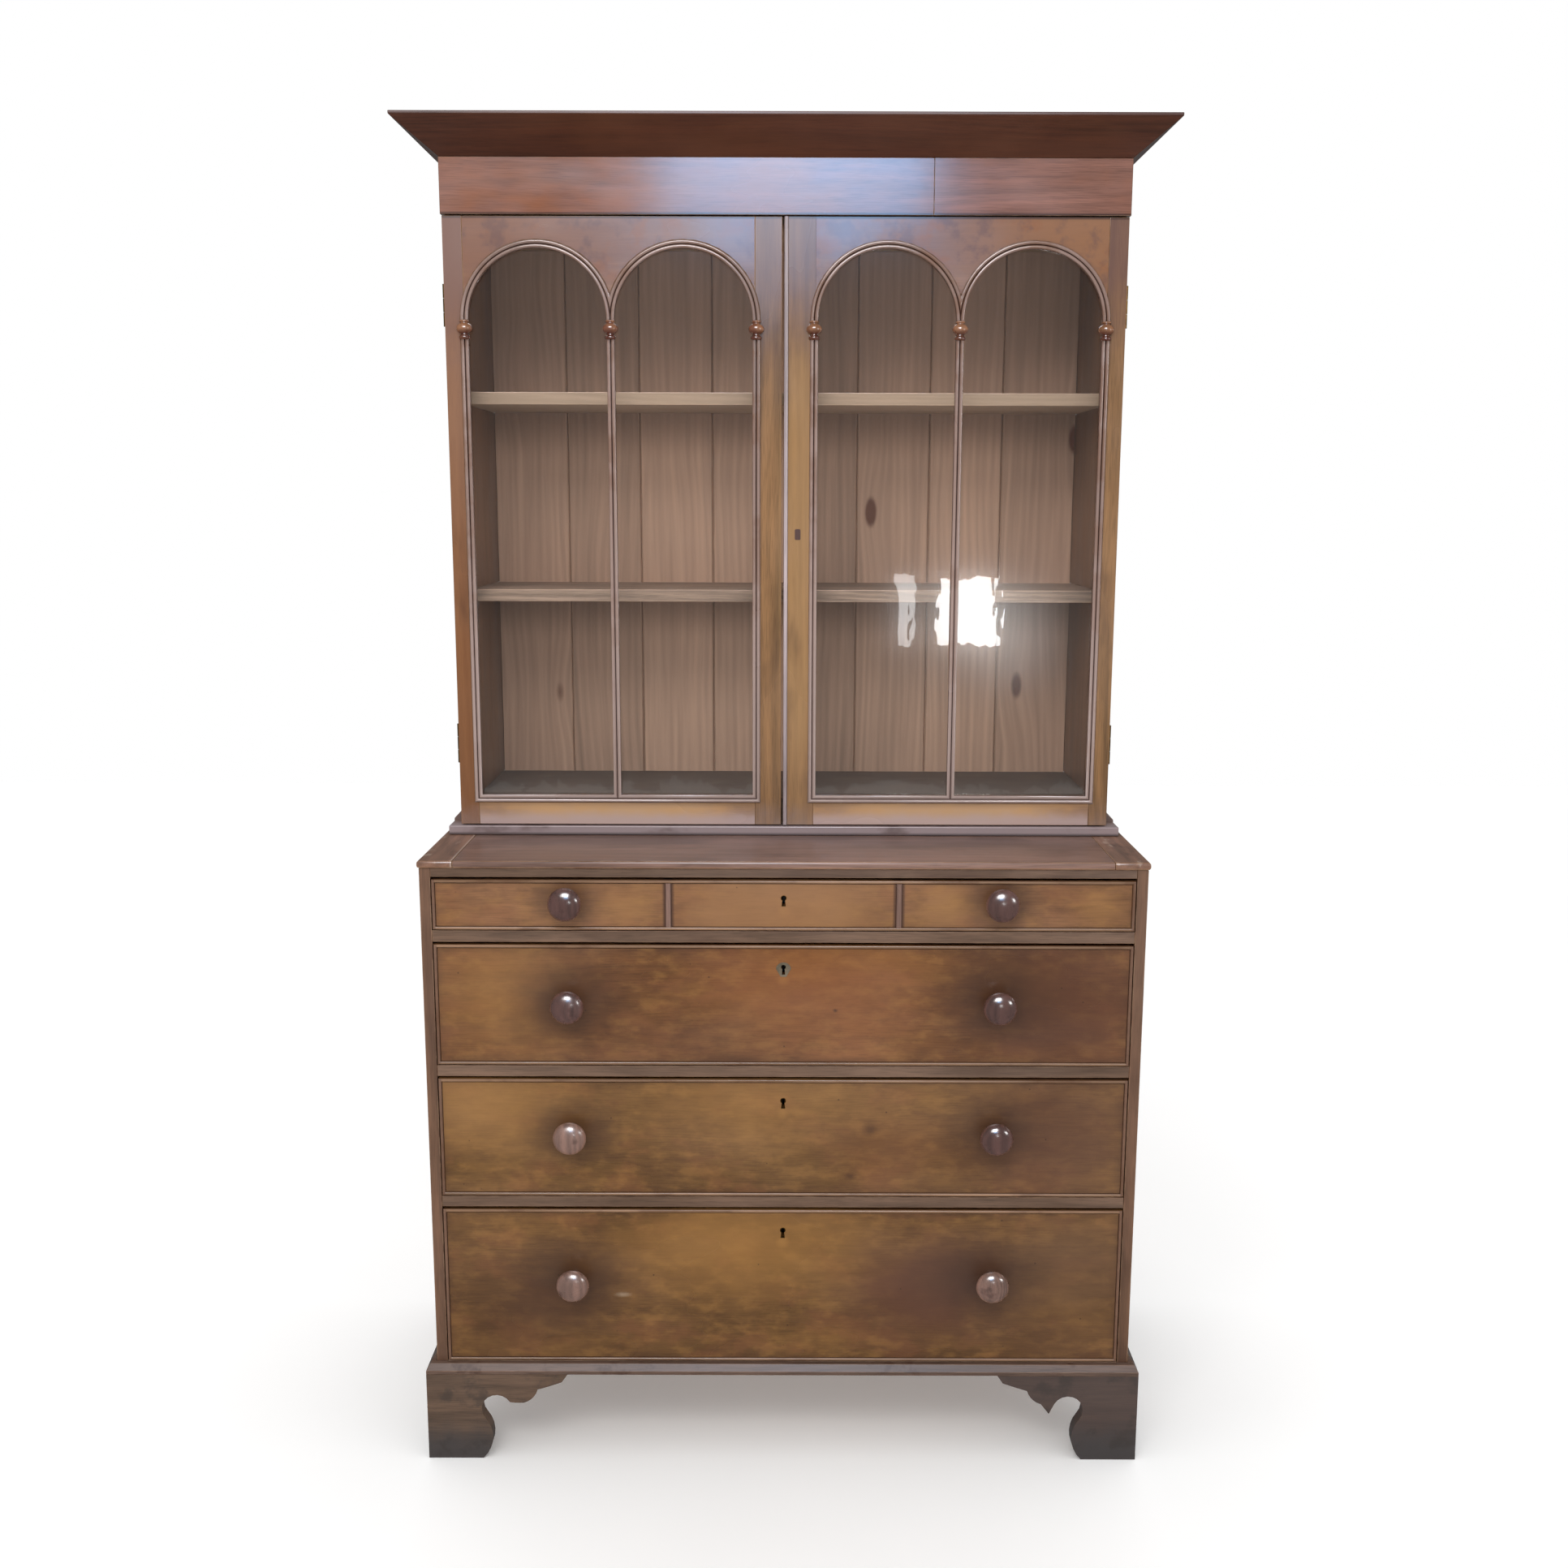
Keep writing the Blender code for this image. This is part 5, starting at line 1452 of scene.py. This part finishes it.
# %% The four fronts
HOLE_RADIUS, CUT_START, CUT_LENGTH = 0.0078, 0.01, 0.06
HOLE_PROFILE = [(0, 0), (HOLE_RADIUS, 0), (HOLE_RADIUS, CUT_LENGTH), (0, CUT_LENGTH)]
for word in DRAWERS:
    low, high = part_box(f"{word}_drawer_front")
    bm = beaded_board((low.x, CHEST_FACE_Y, low.z), high)
    key_z = high.z - KEY_DROP[word]
    cut_y = CHEST_FACE_Y - CUT_START
    tool = prism([(x, cut_y, z) for x, z in keyhole(key_z)], (0, CUT_LENGTH, 0))
    for side in (-1, 1):
        pour(turned(HOLE_PROFILE, (side * KNOB_X, cut_y, KNOB_Z[word]), (0, 1, 0), 24), tool)
    bm = carve(bm, tool)
    if word == "top":
        for x in (-STRIP_X, STRIP_X):
            strip = half_round(
                x, STRIP_HALF, STRIP_RISE, CHEST_FACE_Y, CHEST_FACE_Y + STRIP_ROOT,
                low.z + BEAD_WIDTH, high.z - BEAD_WIDTH, 10,
            )
            pour(strip, bm, 2)
    add_piece(
        f"{word}_drawer_face", bm, [drawer_woods[word], cockbead_wood, strip_wood],
        f"{word}_drawer", [f"{word}_drawer_front"], squared=True,
    )

# %% [markdown]
# ## Dovetails
# An old drawer front is held to its sides by lapped dovetails. From the end one sees the
# tails of the side let into the front: each widens towards the front, so the joint can't pull
# apart. They could be cut in by Booleans. Here each tail is a thin wedge set into the end.

# %% Dovetails
TAIL_COUNT = {"top": 3, "upper": 5, "lower": 5, "bottom": 6}
TAIL_REACH, TAIL_DEPTH, TAIL_PROUD, TAIL_FLARE = 0.012, 0.004, 0.0001, 0.0022
PIN_WIDTH, TAIL_MARGIN = 0.009, 0.002
for word in DRAWERS:
    back_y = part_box(f"{word}_drawer_front")[1].y
    low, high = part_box(f"{word}_drawer_box")
    pitch = (high.z - low.z - 2 * TAIL_MARGIN) / TAIL_COUNT[word]
    half = (pitch - PIN_WIDTH) / 2
    root, tip, tip_y = half - TAIL_FLARE, half + TAIL_FLARE, back_y - TAIL_REACH
    wedge = [(back_y, -root), (back_y, root), (tip_y, tip), (tip_y, -tip)]
    bm = bmesh.new()
    for side in (-1, 1):
        x, out = side * (high.x - TAIL_DEPTH), (side * (TAIL_DEPTH + TAIL_PROUD), 0, 0)
        for i in range(TAIL_COUNT[word]):
            middle = low.z + TAIL_MARGIN + pitch * (i + 0.5)
            pour(prism([(x, y, middle + z) for y, z in wedge], out), bm)
    add_piece(f"{word}_drawer_tails", bm, [box_pine], f"{word}_drawer")

# %% [markdown]
# ## Knobs
# The knobs are turned: one profile, spun round. They were replaced over the years, so some
# are dark and glossy and others are paler. The spigot behind runs through the front.

# %% Knobs
KNOB_PROFILE = [
    (0, -0.020), (0.0074, -0.020), (0.0074, 0.0002), (0.0128, 0.0002), (0.0134, 0.0012),
    (0.0132, 0.0026), (0.0118, 0.0042), (0.0109, 0.0062), (0.0110, 0.0084), (0.0124, 0.0108),
    (0.0152, 0.0132), (0.0188, 0.0158), (0.0222, 0.0188), (0.0246, 0.0220), (0.0258, 0.0252),
]
KNOB_PROFILE += arc((0, 0.0262), (0.0260, 0.0158), 0, 90, 14)
KNOB_STEPS = 56


def knob_finish(name, tones, seed, shine):
    """A turned knob: much polish over a dark or a pale wood."""
    return old_wood(
        name, "z", tones, seed, ring=0.1, shine=shine, coat=1.0, pores=0.12, relief=0.3,
        coat_rough=0.2, polish=0.8, marks=[(broken(45, 0.55, 0.7), tint(60, 34, 30), 0.5)],
    )


knob_dark = knob_finish("knob_dark", shades(92, 63, 58), 31.0, 0.2)
knob_pale = knob_finish("knob_pale", shades(134, 102, 90), 32.0, 0.28)
PALE_KNOBS = {("lower", "left"), ("bottom", "left"), ("bottom", "right")}
for word in DRAWERS:
    for hand, side in HANDS.items():
        place = (side * KNOB_X, CHEST_FACE_Y, KNOB_Z[word])
        bm = turned(KNOB_PROFILE, place, (0, -1, 0), KNOB_STEPS)
        finish = knob_pale if (word, hand) in PALE_KNOBS else knob_dark
        add_piece(
            f"{word}_{hand}_turned_knob", bm, [finish], f"{word}_drawer",
            [f"{word}_drawer_{hand}_knob"],
        )

# %% [markdown]
# ## Keyhole threads
# A thin metal thread lines every keyhole, and the upper drawer has a round iron plate. The
# right door has an old keyhole filled with a wooden plug. The thread is the keyhole's outline
# twice, bridged and pulled inwards; on the plate the outer outline is a circle.

# %% Keyhole threads
THREAD, PLATE_RADIUS = 0.0008, 0.0118
THREAD_FRONT, THREAD_DEEP, THREAD_SEAT = -0.0003, 0.004, 0.0002
for word in DRAWERS:
    key_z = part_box(f"{word}_drawer_front")[1].z - KEY_DROP[word]
    hole = keyhole(key_z, -THREAD)
    rim = keyhole(key_z)
    if word == "upper":
        spokes = [Vector((x, z - key_z)).normalized() * PLATE_RADIUS for x, z in rim]
        rim = [(spoke.x, key_z + spoke.y) for spoke in spokes]
    bm = bmesh.new()
    rings = []
    turns = [(rim, THREAD_FRONT), (hole, THREAD_FRONT), (hole, THREAD_DEEP), (rim, THREAD_SEAT)]
    for ring, y in turns:
        rings.append(outline(bm, [(x, CHEST_FACE_Y + y, z) for x, z in ring]))
    for first, second in zip(rings, rings[1:] + rings[:1]):
        bmesh.ops.bridge_loops(bm, edges=first + second)
    metal = plate_iron if word == "upper" else brass
    add_piece(f"{word}_key_thread", bm, [metal], f"{word}_drawer")

# %% Plug in the old keyhole
PLUG_X, PLUG_Z, PLUG_HALF, PLUG_TALL = 0.0205, 1.472, 0.0045, 0.0085
PLUG_PROUD, PLUG_DEEP, PLUG_ROUND = 0.0003, 0.002, 0.002
plug_wood = old_wood("plug_wood", "z", DARK_RED, 33.0)
bm = block(
    (PLUG_X - PLUG_HALF, DOOR_FACE_Y - PLUG_PROUD, PLUG_Z - PLUG_TALL),
    (PLUG_X + PLUG_HALF, DOOR_FACE_Y + PLUG_DEEP, PLUG_Z + PLUG_TALL),
)
corners = [e for e in bm.edges if abs(e.verts[0].co.y - e.verts[1].co.y) > PLUG_DEEP / 2]
soften(bm, PLUG_ROUND, 3, edges=corners)
add_piece("door_keyhole_plug", bm, [plug_wood], "right_door")

# %% [markdown]
# ## Screws
# Hinges and locks are screwed on. A screw head is two half discs with the slot left between
# them, so the slot is real shape and needs no cutting. The heads stand out by a tenth of a
# millimetre only, because two hinge leaves close on each other.

# %% Screws
SCREW_RADIUS, SLOT_HALF, HEAD_RISE, HEAD_SINK = 0.0026, 0.00035, 0.0001, 0.0004
FIRST_TURN, EACH_TURN = 0.4, 0.9
LEAF_SCREW_X, LEAF_SCREW_STEP = 0.5195, 0.022
DOOR_LEAF_Y, CASE_LEAF_Y = -0.0109, -0.0106
LOCK_INSET = 0.006


def screws(name, places, face_y, outward, body, metal):
    """Slotted heads on a face that looks along y; outward is -1 or 1."""
    bm = bmesh.new()
    start = math.degrees(math.asin(SLOT_HALF / SCREW_RADIUS))
    y, out = face_y - outward * HEAD_SINK, (0, outward * (HEAD_SINK + HEAD_RISE), 0)
    for number, (x, z) in enumerate(places):
        turn = Matrix.Rotation(EACH_TURN * number + FIRST_TURN, 2)
        for half in (-1, 1):
            rim = arc((0, 0), (SCREW_RADIUS, half * SCREW_RADIUS), start, 180 - start, 10)
            rim = [turn @ Vector(point) for point in rim]
            pour(prism([(x + p.x, y, z + p.y) for p in rim], out), bm)
    add_piece(name, bm, [metal], body)


for hinge in HINGES:
    hand = hinge.split("_")[0]
    low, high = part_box(f"{hinge}_door_leaf")
    x, middle = HANDS[hand] * LEAF_SCREW_X, (low.z + high.z) / 2
    places = [(x, middle + i * LEAF_SCREW_STEP) for i in (-1, 0, 1)]
    screws(f"{hinge}_door_screws", places, DOOR_LEAF_Y, 1, f"{hand}_door", brass)
    screws(f"{hinge}_case_screws", places, CASE_LEAF_Y, -1, "carcass", brass)
for word in DRAWERS:
    low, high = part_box(f"{word}_drawer_lock")
    across = (low.x + LOCK_INSET, high.x - LOCK_INSET)
    places = [(x, z) for x in across for z in (low.z + LOCK_INSET, high.z - LOCK_INSET)]
    screws(f"{word}_lock_screws", places, high.y, 1, f"{word}_drawer", iron)

# %% [markdown]
# ## Last update
# The view layer is brought up to date at the end.

# %% Last update
bpy.context.view_layer.update()
